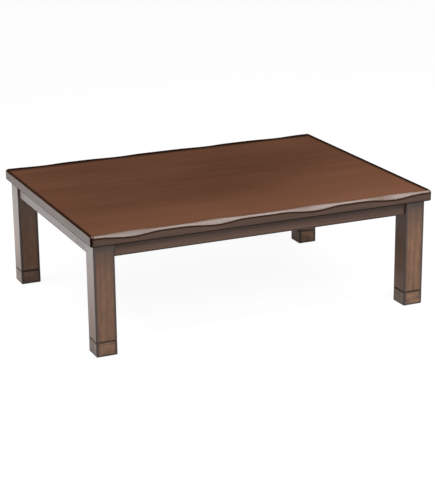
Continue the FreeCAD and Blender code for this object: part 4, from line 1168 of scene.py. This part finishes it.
class TABLE_OT_fit_fasteners(bpy.types.Operator):
    """Finishes the corner brackets, bolts and nuts, and makes the screws"""
    bl_idname = "table.fit_fasteners"
    bl_label = "Fit the fasteners"

    def execute(self, context):
        tints = context.scene.table_colours
        sizes = context.scene.table_sizes
        paint_plain(["corner_brackets", "leg_bolt_nuts", "tube_holders", "thermostat"], "zinc_plate",
                    tints.zinc, roughness=0.38, metal=1.0, mottle=0.1, mottle_scale=160.0)
        paint(["leg_bolts"], threaded("threaded_bolt", tints.zinc, sizes.thread_pitch, "DIAGONAL"))
        steel = plain("screw_steel", toned(tints.zinc, 0.8), roughness=0.32, metal=1.0, mottle=0.08)
        tree = screw_tree()
        turn_screws("bracket_screws", tree, steel)
        turn_screws("heater_screws", tree, steel)
        return {"FINISHED"}


class TABLE_OT_finish_heater(bpy.types.Operator):
    """Finishes the heater's case, reflector, guard, tubes and electrical pieces"""
    bl_idname = "table.finish_heater"
    bl_label = "Finish the heater"

    def execute(self, context):
        tints = context.scene.table_colours
        paint_plain(["heater_case"], "case_paint", tints.case, roughness=0.55, gloss=0.4, grit=0.5,
                    grit_scale=1300.0)
        paint_plain(["reflector"], "bright_reflector", (0.86, 0.87, 0.88), roughness=0.22, metal=1.0,
                    mottle=0.03, grit=0.15, grit_scale=300.0, stretched=(0.05, 2, 1))
        paint_plain(["guard_grille"], "grille_paint", tints.grille, roughness=0.45, gloss=0.5, grit=0.3)
        paint_plain(["guard_frame"], "moulded_frame", tints.plastic, roughness=0.6, gloss=0.4, mottle=0.05,
                    grit=0.7)
        paint_plain(["power_inlet"], "inlet_plastic", (0.015, 0.015, 0.015), roughness=0.5, mottle=0.05)
        paint_plain(["inlet_pins"], "plated_pins", (0.80, 0.74, 0.58), roughness=0.25, metal=1.0, mottle=0.06)
        paint(["quartz_tube_front", "quartz_tube_rear"], glass("quartz_glass", (0.97, 0.95, 0.92)))
        paint_plain(["tube_end_caps", "thermal_fuse"], "cap_ceramic", (0.78, 0.74, 0.66), roughness=0.6,
                    gloss=0.4, mottle=0.05, grit=0.3)
        paint_plain(["terminal_block"], "terminal_plastic", (0.72, 0.70, 0.62), roughness=0.35, mottle=0.04)
        paint_plain(["lead_wires"], "lead_rubber", (0.52, 0.50, 0.46), roughness=0.65, gloss=0.3, mottle=0.08)
        wire = plain("heating_wire", (0.20, 0.14, 0.11), roughness=0.5, metal=0.9, mottle=0.2)
        wind_coils(wire)
        return {"FINISHED"}


class TABLE_OT_finish_fan(bpy.types.Operator):
    """Finishes the heater's fan, shaft and motor"""
    bl_idname = "table.finish_fan"
    bl_label = "Finish the fan"

    def execute(self, context):
        paint_plain(["fan_rotor"], "fan_plastic", (0.45, 0.44, 0.40), roughness=0.5, mottle=0.05)
        paint_plain(["fan_motor"], "motor_paint", (0.085, 0.09, 0.095), roughness=0.45, mottle=0.1)
        paint_plain(["fan_shaft"], "ground_shaft", (0.62, 0.62, 0.62), roughness=0.25, metal=1.0, mottle=0.04)
        return {"FINISHED"}


class TABLE_OT_set_stage(bpy.types.Operator):
    """Lays the floor and sets the lamps, the even light and the camera"""
    bl_idname = "table.set_stage"
    bl_label = "Set the stage"

    def execute(self, context):
        stage = context.scene.table_stage
        lay_floor(stage)
        set_world(stage)
        for name, values in LAMPS.items():
            hang_lamp(name + "_lamp", getattr(stage, name + "_power"), *values)
        place_camera(stage)
        context.scene.view_settings.view_transform = "Standard"
        return {"FINISHED"}


class TABLE_PT_low_table(bpy.types.Panel):
    """Sizes, colours and steps of the low table"""
    bl_label = "Low table"
    bl_space_type = "VIEW_3D"
    bl_region_type = "UI"
    bl_category = "Low table"

    def draw(self, context):
        for settings in (context.scene.table_sizes, context.scene.table_colours, context.scene.table_stage):
            for name in settings.__annotations__:
                self.layout.prop(settings, name)
        for step in STEPS:
            self.layout.operator(step.bl_idname)


STEPS = (
    TABLE_OT_finish_board,
    TABLE_OT_finish_frame,
    TABLE_OT_finish_feet,
    TABLE_OT_fit_fasteners,
    TABLE_OT_finish_heater,
    TABLE_OT_finish_fan,
    TABLE_OT_set_stage,
)
SETTINGS = {"table_sizes": TableSizes, "table_colours": TableColours, "table_stage": TableStage}


def register():
    for name, group in SETTINGS.items():
        bpy.utils.register_class(group)
        setattr(bpy.types.Scene, name, bpy.props.PointerProperty(type=group))
    for step in STEPS:
        bpy.utils.register_class(step)
    bpy.utils.register_class(TABLE_PT_low_table)


def unregister():
    bpy.utils.unregister_class(TABLE_PT_low_table)
    for step in reversed(STEPS):
        bpy.utils.unregister_class(step)
    for name, group in SETTINGS.items():
        delattr(bpy.types.Scene, name)
        bpy.utils.unregister_class(group)


def main():
    register()
    bpy.ops.table.finish_board()
    bpy.ops.table.finish_frame()
    bpy.ops.table.finish_feet()
    bpy.ops.table.fit_fasteners()
    bpy.ops.table.finish_heater()
    bpy.ops.table.finish_fan()
    bpy.ops.table.set_stage()


if __name__ == "__main__":
    main()
